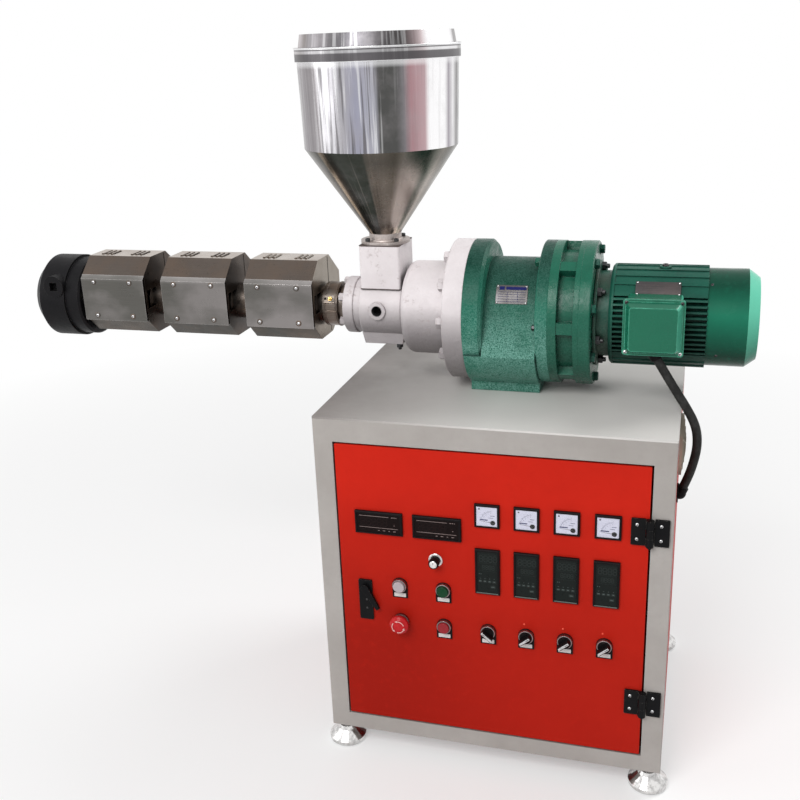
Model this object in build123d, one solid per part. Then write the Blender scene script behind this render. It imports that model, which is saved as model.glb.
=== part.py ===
from build123d import *
import os
from math import cos, pi, radians, sin, tan

# Single-screw plastic extruder: barrel, hopper and geared motor on a steel control cabinet.
# Millimetres. X runs along the screw from the die (-X) to the motor (+X), Y goes from the
# operator's side to the back, Z is up and the floor is Z = 0. Sizes are written from the
# cabinet's left, front corner, and everything is moved to the row frame at export.

# Cabinet
CAB_W = 680.0            # width along X
CAB_D = 550.0            # depth along Y
CAB_H = 702.0            # height of the welded body, feet left out
FOOT_H = 46.0            # floor to the underside of the body
STILE = 39.0             # width of the front frame's posts
TOP_RAIL = 49.0          # height of the front frame's top rail
BOTTOM_RAIL = 35.0       # height of the front frame's bottom rail
FRAME_T = 30.0           # depth of the frame's tube along Y
FRAME_ROUND = 2.0        # rounded outer corners of the frame
SHEET = 2.0              # panel sheet
TOP_SHEET = 4.0          # top plate

# Levelling feet
FOOT_INSET = 24.0        # foot axis in from the body's corner faces
FOOT_R = 39.0            # rim of the bell foot
FOOT_RIM_H = 12.0        # height of the rim
FOOT_CAP_R = 17.0        # top of the bell
FOOT_BELL_H = 36.0       # height of the bell
FOOT_STUD_R = 8.0

# Door
DOOR_GAP = 3.5           # slit between the door and its frame
DOOR_T = 20.0            # depth of the folded door pan
DOOR_SHEET = 2.0
DOOR_LIP = 12.0          # return lip at the back of the pan
HINGE_LEAF_W = 26.0
HINGE_H = 53.0
HINGE_KNUCKLE_R = 7.0    # outer radius of the hinge barrel
HINGE_PIN_R = 3.0
HINGE_OFF = 1.0          # knuckles off the door's face and off the leaves
HINGE_LEAF_T = 4.0
HINGE_SLIT = 0.4         # slit between hinge knuckles
HINGE_WEB_T = 7.0        # web from leaf to knuckle
HINGE_SHARES = (0.793, 0.197)  # hinge middles, as shares of the door's height
RUN_FIT = 0.05           # radial clearance of a pin in its bore

# Panel instruments: standard sizes, spread over the door by shares of its free width and height
METER = 48.0             # square panel meter
CONTROLLER_H = 96.0      # upright controller, as wide as a meter
DISPLAY_W = 96.0         # wide display, as high as a meter
METERS = 4
DISPLAYS = 2
EDGE_SHARE = 0.198       # door edge to the first display
DISPLAY_SHARE = 0.1131    # between displays
MIDDLE_SHARE = 0.1473     # displays to meters
METER_SHARE = 0.1497      # between meters
METER_TOP_SHARE = 0.837     # tops of the rows, as shares of the door's height
DISPLAY_TOP_SHARE = 0.778
CONTROLLER_TOP_SHARE = 0.6826
BEZEL_T = 6.0
BEZEL_W = 4.0            # bezel's border round its window
BEZEL_CHAMFER = 1.5
WINDOW_DEEP = 1.5
CUTOUT_IN = 1.5          # instrument body inside its bezel on each side
CUTOUT_GAP = 0.5         # room between an instrument body and its cut-out
METER_DEPTH = 45.0       # instrument cases behind the door
CONTROLLER_DEPTH = 70.0

# Push buttons, selectors and the speed knob
CONTROL_HOLE_R = 11.0
CONTROL_RING_R = 14.5
CONTROL_RING_T = 8.0
CONTROL_BACK = 40.0      # contact block behind the door
CONTROL_BORE_L = 14.0
LEGEND_W = 31.0          # legend plate with a round top
LEGEND_DOWN = 28.0       # plate below the control's axis
LEGEND_T = 2.0
CAP_R = 11.5             # caps of buttons and selectors
STEM_R = 8.0             # their stems
CAP_ROOM = 0.3           # room round a cap in its ring
CAP_BACK = 6.0           # back of a cap in front of the door
CAP_WELL = 1.0           # floor of a cap's well in front of the door
STEM_IN = 8.0            # stem behind the door's face
BUTTON_OUT = 13.0
SELECTOR_OUT = 12.0
HANDLE_W = 8.0           # selector handle
HANDLE_L = 25.0
HANDLE_OUT = 24.0
SELECTOR_REST = (-50.0, 50.0, 50.0, 50.0)
BUTTON_SHARE = 0.521        # rows of controls, as shares of the door's height
LOWER_SHARE = 0.388
SPEED_SHARE = 0.625
LEFT_COLUMN_SHARE = 0.203       # columns of controls, as shares of the door's width
RIGHT_COLUMN_SHARE = 0.352
SPEED_COLUMN_SHARE = 0.328
STOP_R = 19.0            # mushroom head
STOP_OUT = 27.0
STOP_HEAD_T = 13.0
STOP_BASE_R = 16.0
STOP_BASE_T = 6.0
SPINDLE_R = 3.0          # spindle of the speed knob
DIAL_R = 8.0             # threaded neck of the speed dial
DIAL_NUT_R = 12.0
DIAL_NUT_T = 2.5
KNOB_R = 10.0
KNOB_OUT = 20.0

# Latch
LATCH_IN = 49.0          # latch axis from the door's left edge
LATCH_SHARE = 0.4548
LATCH_PLATE_W = 28.0
LATCH_PLATE_H = 89.0
LATCH_PLATE_T = 4.0
LATCH_PIVOT_UP = 28.0    # lever pivot above the latch plate's middle
LATCH_SHAFT_R = 7.0
LEVER_L = 52.0
LEVER_W = 15.0
LEVER_TIP_W = 7.0
LEVER_T = 6.0
LEVER_LEAN = 30.0        # lever's rest angle from straight down, towards the hinge side
LATCH_CLEAR = 6.0        # latch cam behind the frame post
LATCH_HOLD = 12.0        # how far the turned cam overlaps the post
CAM_W = 18.0
CAM_T = 4.0

# Machine axis and barrel
REDUCER_IN = 414.0       # reducer's mounting face from the cabinet's right side
AXIS_Y = 272.0           # screw axis behind the cabinet's front face
AXIS_H = 152.0           # screw axis above the cabinet's top
BARREL_R = 38.0
BORE_R = 20.0
BAND_R = 45.0            # outside of the heater bands
BAND_GAP = 6.0

# Die head
DIE_L = 117.0
DIE_R = 91.0
DIE_CHAMFER = 22.0
DIE_RING_L = 34.0        # rear clamp ring, a little smaller
DIE_RING_R = 86.0
NOZZLE_L = 10.0          # how far the nozzle stands out of the die face
NOZZLE_R = 26.0
NOZZLE_TIP_R = 18.0
DIE_BORE_R = 8.0
DIE_BORE_L = 58.0
SOCKET_BOSS_R = 24.0     # boss with a square socket for the adjusting bolt
SOCKET_LEFT = 22.0       # socket to the left of the clamp ring
SOCKET = 18.0
SOCKET_DEEP = 14.0
SOCKET_UP = 38.0         # socket above the screw axis

# Heater covers
COVERS = 3
COVER_L = 150.0
COVER_PITCH = 193.0
COVER_TO_COLLAR = 57.0
COVER_TO_DIE = 8.0
COVER_FRONT_D = 70.0     # depth in front of the screw axis
COVER_BACK_D = 92.0      # depth behind it
COVER_UP = 98.0          # top above the screw axis
COVER_DOWN = 70.0        # bottom below the screw axis
COVER_FLAT = 33.0        # half width of the top and bottom flats
COVER_SIDE_UP = 64.0     # top of the upright front above the axis
COVER_BACK_UP = 51.0     # top of the upright back above the axis
COVER_SIDE_DOWN = 36.0   # bottom of the upright front and back below the axis
COVER_SHEET = 2.0
COVER_SLOT_H = 40.0      # terminal opening in a cover's end
COVER_SLOT_UP = 10.0     # middle of the terminal opening above the axis
VENT_W = 5.0             # vent slots in the top
VENT_L = 34.0
VENT_PITCH = 11.0
VENTS = 3                # slots in each of two groups
VENT_GROUP = 36.0        # group's middle from the cover's middle
PLATE_T = 8.0            # how far the front plate stands proud of its cover
PLATE_SHEET = 2.0

# Feed housing and throat
BLOCK_W = 92.0           # feed housing along X
BLOCK_R = 64.0           # feed housing around the screw axis
BLOCK_TO_BELL = 3.0      # neck between feed housing and bearing housing
BLOCK_FOOT_W = 80.0      # flat under the feed housing
BLOCK_FOOT_DOWN = 71.0   # underside below the axis
BLOCK_FOOT_D = 84.0
BLOCK_FOOT_SLOPE = 24.0  # height of the sloping ends under the housing
BLOCK_SEAM_UP = 46.0     # joint between housing and throat block above the axis
THROAT_W = 85.0          # throat block along X
THROAT_D = 100.0         # throat block along Y
THROAT_UP = 134.0        # top of the throat block above the axis
THROAT_HOLE_R = 24.0
COLLAR_R = 59.0
COLLAR_T = 22.0
NECK_R = 56.0
NECK_L = 14.0
CORNER_R = 5.0           # rounded edges of the castings
PORT_R = 10.5            # threaded port in the feed housing
PORT_BOSS_R = 18.0
PORT_BOSS_T = 4.0
PORT_L = 26.0
PORT_LEFT = 5.0          # port to the left of the hopper axis
PORT_UP = 4.0

# Hopper
HOPPER_R = 157.0         # radius at the top
HOPPER_TAPER = 5.0       # shoulder's radius is smaller by this much
HOPPER_WALL = 2.0
HOPPER_NECK_R = 33.0
HOPPER_NECK_H = 14.0     # neck above its flange
CONE_H = 172.0
CYL_H = 186.0            # shoulder to the rim
HOPPER_FLANGE_R = 50.0
HOPPER_FLANGE_T = 6.0
LID_SKIRT_H = 24.0
LID_ROOM = 1.0           # lid skirt around the hopper
LID_SEAT = 0.3           # slit between lid and rim
LID_CROWN_IN = 5.0       # crown's radius is smaller than the hopper's by this much
LID_CROWN_H = 26.0
LID_LEAN = 4.0           # crown's side leans in by this much
LID_BEAD_R = 1.4         # rolled bead round the skirt's top

# Bearing housing and reducer
BELL_L = 98.0
BELL_R = 95.0
BELL_SHOULDER = 18.0     # rounded shoulder of the bearing housing
FLANGE_R = 141.0         # the large flanges
WHITE_FLANGE_T = 40.0
GREEN_FLANGE_T = 37.0
CASING_R = 107.0
CASING_L = 103.0
RING_FLANGE_T = 23.0
PIN_RIM_T = 17.0         # left rim of the pin gear ring
PIN_RECESS_L = 31.0
PIN_REAR_RIM_T = 10.0
PIN_RECESS_R = 122.0
PIN_RIBS = 7
PIN_RIB_W = 22.0
PIN_RIB_TURN = -1.0      # first rib below the level of the axis, in degrees
END_FLANGE_T = 22.0
FLANGE_CHAMFER = 2.0
DRUM_R = 148.0           # reducer's foot, round in front and behind
DRUM_TOP_DOWN = 58.0     # top of the drum below the axis, over the flange
DRUM_SIDE_UP = 30.0      # drum's flanks meet the casing this high above the axis
PAD_HALF_D = 64.0        # half depth of the flat pad under the foot
PAD_H = 20.0

# Motor
ADAPTOR_L = 29.0
ADAPTOR_R = 84.0
MOTOR_L = 178.0
MOTOR_R = 98.0
MOTOR_CORE_R = 86.0
END_SHIELD_L = 8.0
FIN_PITCH = 10.0
FIN_T = 3.6
FIN_REACH = 0.56         # fins reach this share of the radius above and below the axis
RIB_OUT = 2.0            # low ribs of the smooth back
RIB_W = 4.0
RIB_TURNS = (-40.0, -27.0, -14.0, 0.0, 14.0, 27.0, 40.0)
COWL_L = 72.0
COWL_R = 93.0
COWL_TAPER_L = 20.0
COWL_END_R = 78.0
COWL_SHEET = 2.0
COWL_LAP = 10.0          # how far the cowl laps over the rear end shield
GRILLE_R = (18.0, 34.0, 50.0, 66.0)   # edges of the air slots in the cowl's end, in pairs
GRILLE_SPOKES = 8
GRILLE_SPOKE_W = 5.0
FAN_HUB_R = 16.0
FAN_BLADES = 7
FAN_BLADE_R = 70.0
FAN_BLADE_T = 3.0
FAN_BLADE_L = 34.0
FAN_GAP = 4.0            # blades behind the end shield
TBOX_W = 110.0
TBOX_H = 106.0
TBOX_IN = 30.0           # terminal box from the motor body's end
TBOX_DOWN = 41.0         # terminal box's underside below the axis
TBOX_OUT = 140.0         # box's rim in front of the axis
TBOX_LID_T = 5.0         # lid's rim
TBOX_LID_RAISE = 17.0    # raised panel of the lid
TBOX_LID_EDGE = 5.0
TBOX_LID_SLOPE = 7.0
TBOX_ROUND = 6.0
TBOX_SUNK = 10.0         # box's back inside the motor's round

# Motor cable in one upright plane: X and Z of its points from the cabinet's top right corner
CABLE_R = 8.5
CABLE_Y = 150.0
CABLE_ROUTE = ((-49.0, 101.0), (-19.0, 51.0), (12.0, 4.0), (29.0, -30.0), (33.0, -66.0),
               (27.0, -104.0), (18.0, -136.0), (11.0, -153.0))
GLAND_R = 11.0           # nut of a cable gland
GLAND_NUT_L = 14.0       # nut's face to the swivel joint
GLAND_BALL_R = 12.0      # swivel joint of a cable gland
GLAND_STEM_R = 10.0
GLAND_STEM_L = 30.0
GLAND_ROOM = 3.0         # room round the swivel joint in the side panel
GLAND_FLANGE_R = 19.0
GLAND_FLANGE_T = 3.0

# Fan guard on the right side
VENT_Y = 200.0
VENT_DOWN = 85.0         # below the cabinet's top
GUARD_R = 60.0
GUARD_OUT = 12.0
GUARD_RIM = 6.0
GUARD_RINGS = 4
GUARD_SPOKES = 6
GUARD_BAR = 3.0

HOPPER_SHOULDER_R = HOPPER_R - HOPPER_TAPER
LID_CROWN_R = HOPPER_R - LID_CROWN_IN
TOP_Z = FOOT_H + CAB_H
AXIS_Z = TOP_Z + AXIS_H
DOOR_X0 = STILE + DOOR_GAP
DOOR_X1 = CAB_W - STILE - DOOR_GAP
DOOR_Z0 = FOOT_H + BOTTOM_RAIL + DOOR_GAP
DOOR_Z1 = TOP_Z - TOP_RAIL - DOOR_GAP
DOOR_W = DOOR_X1 - DOOR_X0
DOOR_H = DOOR_Z1 - DOOR_Z0
HINGE_REACH = HINGE_LEAF_W + HINGE_KNUCKLE_R + HINGE_OFF - DOOR_GAP / 2
FREE_W = DOOR_W - HINGE_REACH - DISPLAYS * DISPLAY_W - METERS * METER
METER_X0 = DOOR_X0 + DISPLAYS * DISPLAY_W + FREE_W * (EDGE_SHARE + DISPLAY_SHARE + MIDDLE_SHARE)
METER_STEP = METER + FREE_W * METER_SHARE
HINGE_X = CAB_W - STILE - DOOR_GAP / 2
HINGE_Y = -HINGE_KNUCKLE_R - HINGE_OFF
LATCH_X = DOOR_X0 + LATCH_IN
LATCH_Z = DOOR_Z0 + LATCH_SHARE * DOOR_H
LATCH_PIVOT_Z = LATCH_Z + LATCH_PIVOT_UP

GREEN_X0 = CAB_W - REDUCER_IN
CASING_X0 = GREEN_X0 + GREEN_FLANGE_T
RING_X0 = CASING_X0 + CASING_L
PIN_X0 = RING_X0 + RING_FLANGE_T
PIN_REAR_X0 = PIN_X0 + PIN_RIM_T + PIN_RECESS_L
END_X0 = PIN_REAR_X0 + PIN_REAR_RIM_T
ADAPTOR_X0 = END_X0 + END_FLANGE_T
MOTOR_X0 = ADAPTOR_X0 + ADAPTOR_L
COWL_X0 = MOTOR_X0 + MOTOR_L
MOTOR_END = COWL_X0 + COWL_L + COWL_TAPER_L
TBOX_X0 = MOTOR_X0 + TBOX_IN
TBOX_Z0 = AXIS_Z - TBOX_DOWN
WHITE_X0 = GREEN_X0 - WHITE_FLANGE_T
BELL_X0 = WHITE_X0 - BELL_L
THROAT_X = BELL_X0 - BLOCK_TO_BELL - BLOCK_W / 2
BLOCK_X0 = THROAT_X - BLOCK_W / 2
COLLAR_X0 = BLOCK_X0 - NECK_L - COLLAR_T
COVER_X0 = COLLAR_X0 - COVER_TO_COLLAR - COVER_L - (COVERS - 1) * COVER_PITCH
DIE_X1 = COVER_X0 - COVER_TO_DIE
DIE_X0 = DIE_X1 - DIE_L
X_MIN = DIE_X0 - NOZZLE_L
ROW_X = (X_MIN + MOTOR_END) / 2
ROW_Y = (-STOP_OUT + CAB_D - FOOT_INSET + FOOT_R) / 2

os.makedirs("parts", exist_ok=True)
parts = {}


def block(x0, x1, y0, y1, z0, z1):
    """Box between two corners."""
    return Pos((x0 + x1) / 2, (y0 + y1) / 2, (z0 + z1) / 2) * Box(x1 - x0, y1 - y0, z1 - z0)


def disc(x0, x1, r, y=AXIS_Y, z=AXIS_Z):
    """Round bar along X between two stations."""
    return Pos((x0 + x1) / 2, y, z) * Rot(0, 90, 0) * Cylinder(r, x1 - x0)


def peg(x, z, y0, y1, r):
    """Round bar along Y between two depths."""
    return Pos(x, (y0 + y1) / 2, z) * Rot(90, 0, 0) * Cylinder(r, y1 - y0)


def post(x, y, z0, z1, r):
    """Round bar along Z between two heights."""
    return Pos(x, y, (z0 + z1) / 2) * Cylinder(r, z1 - z0)


def turned_x(points, y=AXIS_Y, z=AXIS_Z):
    """Solid of revolution about an axis along X from (x, radius) points."""
    wire = Polyline(*[(x, 0, r) for x, r in points], close=True)
    return Pos(0, y, z) * revolve(make_face(wire), Axis.X)


def turned_z(points, x, y):
    """Solid of revolution about an upright axis from (radius, height) points."""
    wire = Polyline(*[(r, 0, h) for r, h in points], close=True)
    return Pos(x, y, 0) * revolve(make_face(wire), Axis.Z)


def section_x(x0, x1, sketch):
    """Extrude a sketch, drawn as (Y, Z) about the screw axis, from one station to another."""
    plane = Plane(origin=(x0, AXIS_Y, AXIS_Z), x_dir=(0, 1, 0), z_dir=(1, 0, 0))
    return extrude(plane * sketch, x1 - x0)


def around(shape, count, first=0.0):
    """Copies of a shape turned about the screw axis."""
    turn = Pos(0, AXIS_Y, AXIS_Z)
    return [turn * Rot(first + i * 360 / count, 0, 0) * shape for i in range(count)]


def at_height(share):
    return DOOR_Z0 + share * DOOR_H


def at_width(share):
    return DOOR_X0 + share * DOOR_W


def ring_frame(y0, y1):
    """Welded rectangular frame of the cabinet's front or back."""
    outer = block(0, CAB_W, y0, y1, FOOT_H, TOP_Z - TOP_SHEET)
    outer = fillet(outer.edges().filter_by(Axis.Z), FRAME_ROUND)
    return outer - block(STILE, CAB_W - STILE, y0 - 1, y1 + 1, FOOT_H + BOTTOM_RAIL, TOP_Z - TOP_RAIL)


def make_cabinet():
    under = TOP_Z - TOP_SHEET
    back = CAB_D - FRAME_T
    z0, z1 = FOOT_H + BOTTOM_RAIL, TOP_Z - TOP_RAIL
    frame = ring_frame(0, FRAME_T) + ring_frame(back, CAB_D)
    for x0 in (0, CAB_W - STILE):
        frame += block(x0, x0 + STILE, FRAME_T, back, FOOT_H, z0)
        frame += block(x0, x0 + STILE, FRAME_T, back, z1, under)
    parts["cabinet_frame"] = frame
    top = block(0, CAB_W, 0, CAB_D, under, TOP_Z)
    parts["top_plate"] = fillet(top.edges().filter_by(Axis.Z), FRAME_ROUND)
    floor = block(STILE, CAB_W - STILE, FRAME_T, back, z0 - SHEET, z0)
    left = block(0, SHEET, FRAME_T, back, z0, z1)
    right = block(CAB_W - SHEET, CAB_W, FRAME_T, back, z0, z1)
    right -= disc(CAB_W - 2 * SHEET, CAB_W + SHEET, GLAND_BALL_R + GLAND_ROOM, CABLE_Y, side_gland().Z)
    right -= disc(CAB_W - 2 * SHEET, CAB_W + SHEET, GUARD_R - GUARD_RIM, VENT_Y, TOP_Z - VENT_DOWN)
    rear = block(STILE, CAB_W - STILE, CAB_D - SHEET, CAB_D, z0, z1)
    parts["cabinet_panels"] = Compound([floor, left, right, rear])


def make_fan_guard():
    """Domed wire guard: rim, concentric rings and spokes that follow the dome."""
    z = TOP_Z - VENT_DOWN
    rim = disc(0, GUARD_OUT / 2, GUARD_R, 0, 0) - disc(-1, GUARD_OUT, GUARD_R - GUARD_RIM, 0, 0)
    guard = fillet(rim.edges().sort_by(Axis.X)[-1], 2)
    step = (GUARD_R - GUARD_RIM) / GUARD_RINGS
    for i in range(GUARD_RINGS):
        r = step * (i + 0.5)
        out = GUARD_OUT * (1 - (r / GUARD_R) ** 2 / 2)
        hoop = disc(out - GUARD_BAR, out, r + GUARD_BAR / 2, 0, 0)
        guard += hoop - disc(-1, out + 1, r - GUARD_BAR / 2, 0, 0)
    dome = turned_x([(0, 0), (0, GUARD_R), (GUARD_OUT / 2, GUARD_R), (GUARD_OUT, step), (GUARD_OUT, 0)], 0, 0)
    inner = Pos(-GUARD_BAR, 0, 0) * dome
    spokes = [Rot(i * 360 / GUARD_SPOKES, 0, 0)
              * block(0, GUARD_OUT, -GUARD_BAR / 2, GUARD_BAR / 2, 0, GUARD_R - 1)
              for i in range(GUARD_SPOKES)]
    guard += (spokes[0] + spokes[1:]) & (dome - inner)
    parts["fan_guard"] = Pos(CAB_W, VENT_Y, z) * guard


def make_feet():
    bell = [(0, 0), (FOOT_R - 4, 0), (FOOT_R, 5), (FOOT_R, FOOT_RIM_H), (FOOT_R - 7, FOOT_RIM_H + 6),
            (FOOT_CAP_R + 4, FOOT_BELL_H - 7), (FOOT_CAP_R, FOOT_BELL_H), (FOOT_STUD_R, FOOT_BELL_H),
            (FOOT_STUD_R, FOOT_H), (0, FOOT_H)]
    foot = turned_z(bell, 0, 0)
    parts["levelling_feet"] = Compound([Pos(x, y, 0) * foot
                                        for x in (FOOT_INSET, CAB_W - FOOT_INSET)
                                        for y in (FOOT_INSET, CAB_D - FOOT_INSET)])


def meter_sizes():
    """Left, top, width and height of each meter's bezel."""
    return [(METER_X0 + i * METER_STEP, at_height(METER_TOP_SHARE), METER, METER) for i in range(METERS)]


def controller_sizes():
    return [(METER_X0 + i * METER_STEP, at_height(CONTROLLER_TOP_SHARE), METER, CONTROLLER_H)
            for i in range(METERS)]


def display_sizes():
    first = DOOR_X0 + FREE_W * EDGE_SHARE
    step = DISPLAY_W + FREE_W * DISPLAY_SHARE
    return [(first + i * step, at_height(DISPLAY_TOP_SHARE), DISPLAY_W, METER) for i in range(DISPLAYS)]


def selector_places():
    return [(METER_X0 + METER / 2 + i * METER_STEP, at_height(LOWER_SHARE)) for i in range(METERS)]


def button_places():
    return {"white_button": (at_width(LEFT_COLUMN_SHARE), at_height(BUTTON_SHARE)),
            "green_button": (at_width(RIGHT_COLUMN_SHARE), at_height(BUTTON_SHARE)),
            "red_button": (at_width(RIGHT_COLUMN_SHARE), at_height(LOWER_SHARE))}


def make_door():
    pan = block(DOOR_X0, DOOR_X1, 0, DOOR_T, DOOR_Z0, DOOR_Z1)
    pan = fillet(pan.edges().filter_by(Axis.Y), FRAME_ROUND)
    s = DOOR_SHEET
    pan -= block(DOOR_X0 + s, DOOR_X1 - s, s, DOOR_T - s, DOOR_Z0 + s, DOOR_Z1 - s)
    lip = DOOR_LIP
    pan -= block(DOOR_X0 + lip, DOOR_X1 - lip, s, DOOR_T + 1, DOOR_Z0 + lip, DOOR_Z1 - lip)
    inset = CUTOUT_IN - CUTOUT_GAP
    for x, z, w, h in meter_sizes() + controller_sizes() + display_sizes():
        pan -= block(x + inset, x + w - inset, -1, DOOR_T / 2, z - h + inset, z - inset)
    stop = (at_width(LEFT_COLUMN_SHARE), at_height(LOWER_SHARE))
    for x, z in list(button_places().values()) + [stop] + selector_places():
        pan -= peg(x, z, -1, DOOR_T / 2, CONTROL_HOLE_R)
    pan -= peg(at_width(SPEED_COLUMN_SHARE), at_height(SPEED_SHARE), -1, DOOR_T / 2, DIAL_R + CUTOUT_GAP)
    pan -= peg(LATCH_X, LATCH_PIVOT_Z, -1, DOOR_T / 2, LATCH_SHAFT_R + CUTOUT_GAP)
    parts["front_door"] = pan


def instrument(x, z, w, h, depth):
    """Flush panel instrument: bevelled bezel, sunk window and the case behind the door."""
    bezel = block(x, x + w, -BEZEL_T, 0, z - h, z)
    bezel = chamfer(bezel.faces().sort_by(Axis.Y)[0].edges(), BEZEL_CHAMFER)
    e, c = BEZEL_W, CUTOUT_IN
    window = block(x + e, x + w - e, -BEZEL_T - 1, WINDOW_DEEP - BEZEL_T, z - h + e, z - e)
    return bezel - window + block(x + c, x + w - c, 0, depth, z - h + c, z - c)


def make_instruments():
    parts["current_meters"] = Compound([instrument(*s, METER_DEPTH) for s in meter_sizes()])
    parts["temperature_controllers"] = Compound([instrument(*s, CONTROLLER_DEPTH)
                                                 for s in controller_sizes()])
    parts["digital_displays"] = Compound([instrument(*s, CONTROLLER_DEPTH) for s in display_sizes()])


def control_base(x, z):
    """Legend plate with a round top, bezel ring and the threaded body of a panel control."""
    half = LEGEND_W / 2
    plate = peg(x, z, -LEGEND_T, 0, half) + block(x - half, x + half, -LEGEND_T, 0, z - LEGEND_DOWN, z)
    ring = chamfer(peg(x, z, -CONTROL_RING_T, 0, CONTROL_RING_R).faces().sort_by(Axis.Y)[0].edges(), 1)
    body = peg(x, z, 0, CONTROL_BACK, CONTROL_HOLE_R - CUTOUT_GAP)
    base = plate + ring + body - peg(x, z, -CONTROL_RING_T - 1, -CAP_WELL, CAP_R + CAP_ROOM)
    return base - peg(x, z, -CONTROL_RING_T - 1, CONTROL_BORE_L, STEM_R + CAP_ROOM)


def make_buttons():
    bases = []
    for name, (x, z) in button_places().items():
        bases.append(control_base(x, z))
        cap = fillet(peg(x, z, -BUTTON_OUT, -CAP_BACK, CAP_R).faces().sort_by(Axis.Y)[0].edges(), 1.5)
        parts[name] = cap + peg(x, z, -CAP_BACK, STEM_IN, STEM_R)
    x, z = at_width(LEFT_COLUMN_SHARE), at_height(LOWER_SHARE)
    base = peg(x, z, -STOP_BASE_T, 0, STOP_BASE_R) + peg(x, z, 0, CONTROL_BACK, CONTROL_HOLE_R - CUTOUT_GAP)
    bases.append(base - peg(x, z, -STOP_BASE_T - 1, CONTROL_BORE_L, STEM_R + CAP_ROOM))
    head = STOP_HEAD_T
    mushroom = turned_z([(0, -STEM_IN), (STEM_R, -STEM_IN), (STEM_R, STOP_OUT - head - 1),
                         (STOP_R, STOP_OUT - head), (STOP_R, STOP_OUT - head / 2),
                         (STOP_R * 0.7, STOP_OUT - 2), (0, STOP_OUT)], 0, 0)
    parts["stop_button"] = Pos(x, 0, z) * Rot(90, 0, 0) * mushroom
    return bases


def make_selectors():
    bases = []
    for i, (x, z) in enumerate(selector_places()):
        bases.append(control_base(x, z))
        w, h = HANDLE_W / 2, HANDLE_L / 2
        handle = block(-w, w, -HANDLE_OUT, 1 - SELECTOR_OUT, -h, h)
        handle = chamfer(handle.edges().filter_by(Axis.Z).group_by(Axis.Y)[0], 1.5)
        knob = peg(0, 0, -SELECTOR_OUT, -CAP_BACK, CAP_R) + peg(0, 0, -CAP_BACK, STEM_IN, STEM_R) + handle
        parts[f"selector_{i + 1}"] = Pos(x, 0, z) * Rot(0, SELECTOR_REST[i], 0) * knob
    return bases


def make_speed_knob():
    x, z = at_width(SPEED_COLUMN_SHARE), at_height(SPEED_SHARE)
    dial = peg(x, z, -DIAL_NUT_T, 0, DIAL_NUT_R) + peg(x, z, 0, 3 * DIAL_R, DIAL_R)
    spindle_l = 2 * DIAL_R
    knob = peg(x, z, -KNOB_OUT, -DIAL_NUT_T - 0.5, KNOB_R)
    knob = fillet(knob.faces().sort_by(Axis.Y)[0].edges(), 1.5)
    parts["speed_knob"] = knob + peg(x, z, -KNOB_OUT + 1, spindle_l, SPINDLE_R)
    return [dial - peg(x, z, -DIAL_NUT_T - 1, spindle_l + 1, SPINDLE_R + RUN_FIT)]


def make_latch():
    w, h = LATCH_PLATE_W / 2, LATCH_PLATE_H / 2
    plate = block(LATCH_X - w, LATCH_X + w, -LATCH_PLATE_T, 0, LATCH_Z - h, LATCH_Z + h)
    plate = fillet(plate.edges().filter_by(Axis.Y), 2)
    parts["latch_plate"] = plate - peg(LATCH_X, LATCH_PIVOT_Z, -LATCH_PLATE_T - 1, 1, LATCH_SHAFT_R + RUN_FIT)
    front = -LATCH_PLATE_T - 0.5
    back = FRAME_T + LATCH_CLEAR
    shaft = peg(0, 0, front, back, LATCH_SHAFT_R)
    a, b = LEVER_W / 2, LEVER_TIP_W / 2
    outline = Polyline((-a, 0, 0), (-b, 0, -LEVER_L), (b, 0, -LEVER_L), (a, 0, 0), close=True)
    blade = extrude(make_face(outline), LEVER_T, dir=(0, -1, 0))
    lever = Pos(0, front, 0) * (blade + peg(0, 0, -LEVER_T, 0, a))
    reach = LATCH_X - STILE + LATCH_HOLD
    cam = block(-CAM_W / 2, CAM_W / 2, back, back + CAM_T, -reach, CAM_W / 2)
    parts["latch_lever"] = Pos(LATCH_X, 0, LATCH_PIVOT_Z) * (shaft + Rot(0, -LEVER_LEAN, 0) * lever + cam)


def hinge_leaf(side, mid, spans, bore_r):
    """One leaf on the door (side -1) or the frame (side 1) with its knuckles."""
    near = HINGE_X + side * (HINGE_KNUCKLE_R + HINGE_OFF)
    far = near + side * HINGE_LEAF_W
    z0, z1 = mid - HINGE_H / 2, mid + HINGE_H / 2
    leaf = block(min(near, far), max(near, far), -HINGE_LEAF_T, 0, z0, z1)
    leaf = fillet(leaf.edges().filter_by(Axis.Y), 1.5)
    for a, b in spans:
        a, b = mid + a * HINGE_H + HINGE_SLIT / 2, mid + b * HINGE_H - HINGE_SLIT / 2
        leaf += block(min(HINGE_X, near), max(HINGE_X, near), -HINGE_WEB_T - 1, -1, a, b)
        leaf += post(HINGE_X, HINGE_Y, a, b, HINGE_KNUCKLE_R)
    return leaf - post(HINGE_X, HINGE_Y, z0 - 1, z1 + 1, bore_r) if bore_r else leaf


def make_hinges():
    fixed, moving = [], []
    for share in HINGE_SHARES:
        mid = at_height(share)
        third = 1 / 6
        moving.append(hinge_leaf(-1, mid, ((-0.5, -third), (third, 0.5)), HINGE_PIN_R + RUN_FIT))
        pin = post(HINGE_X, HINGE_Y, mid - HINGE_H / 2 - 4, mid + HINGE_H / 2 + 1, HINGE_PIN_R)
        fixed.append(hinge_leaf(1, mid, ((-third, third),), 0) + pin)
    parts["hinge_door_leaves"] = Compound(moving)
    parts["hinge_frame_leaves"] = Compound(fixed)


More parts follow.
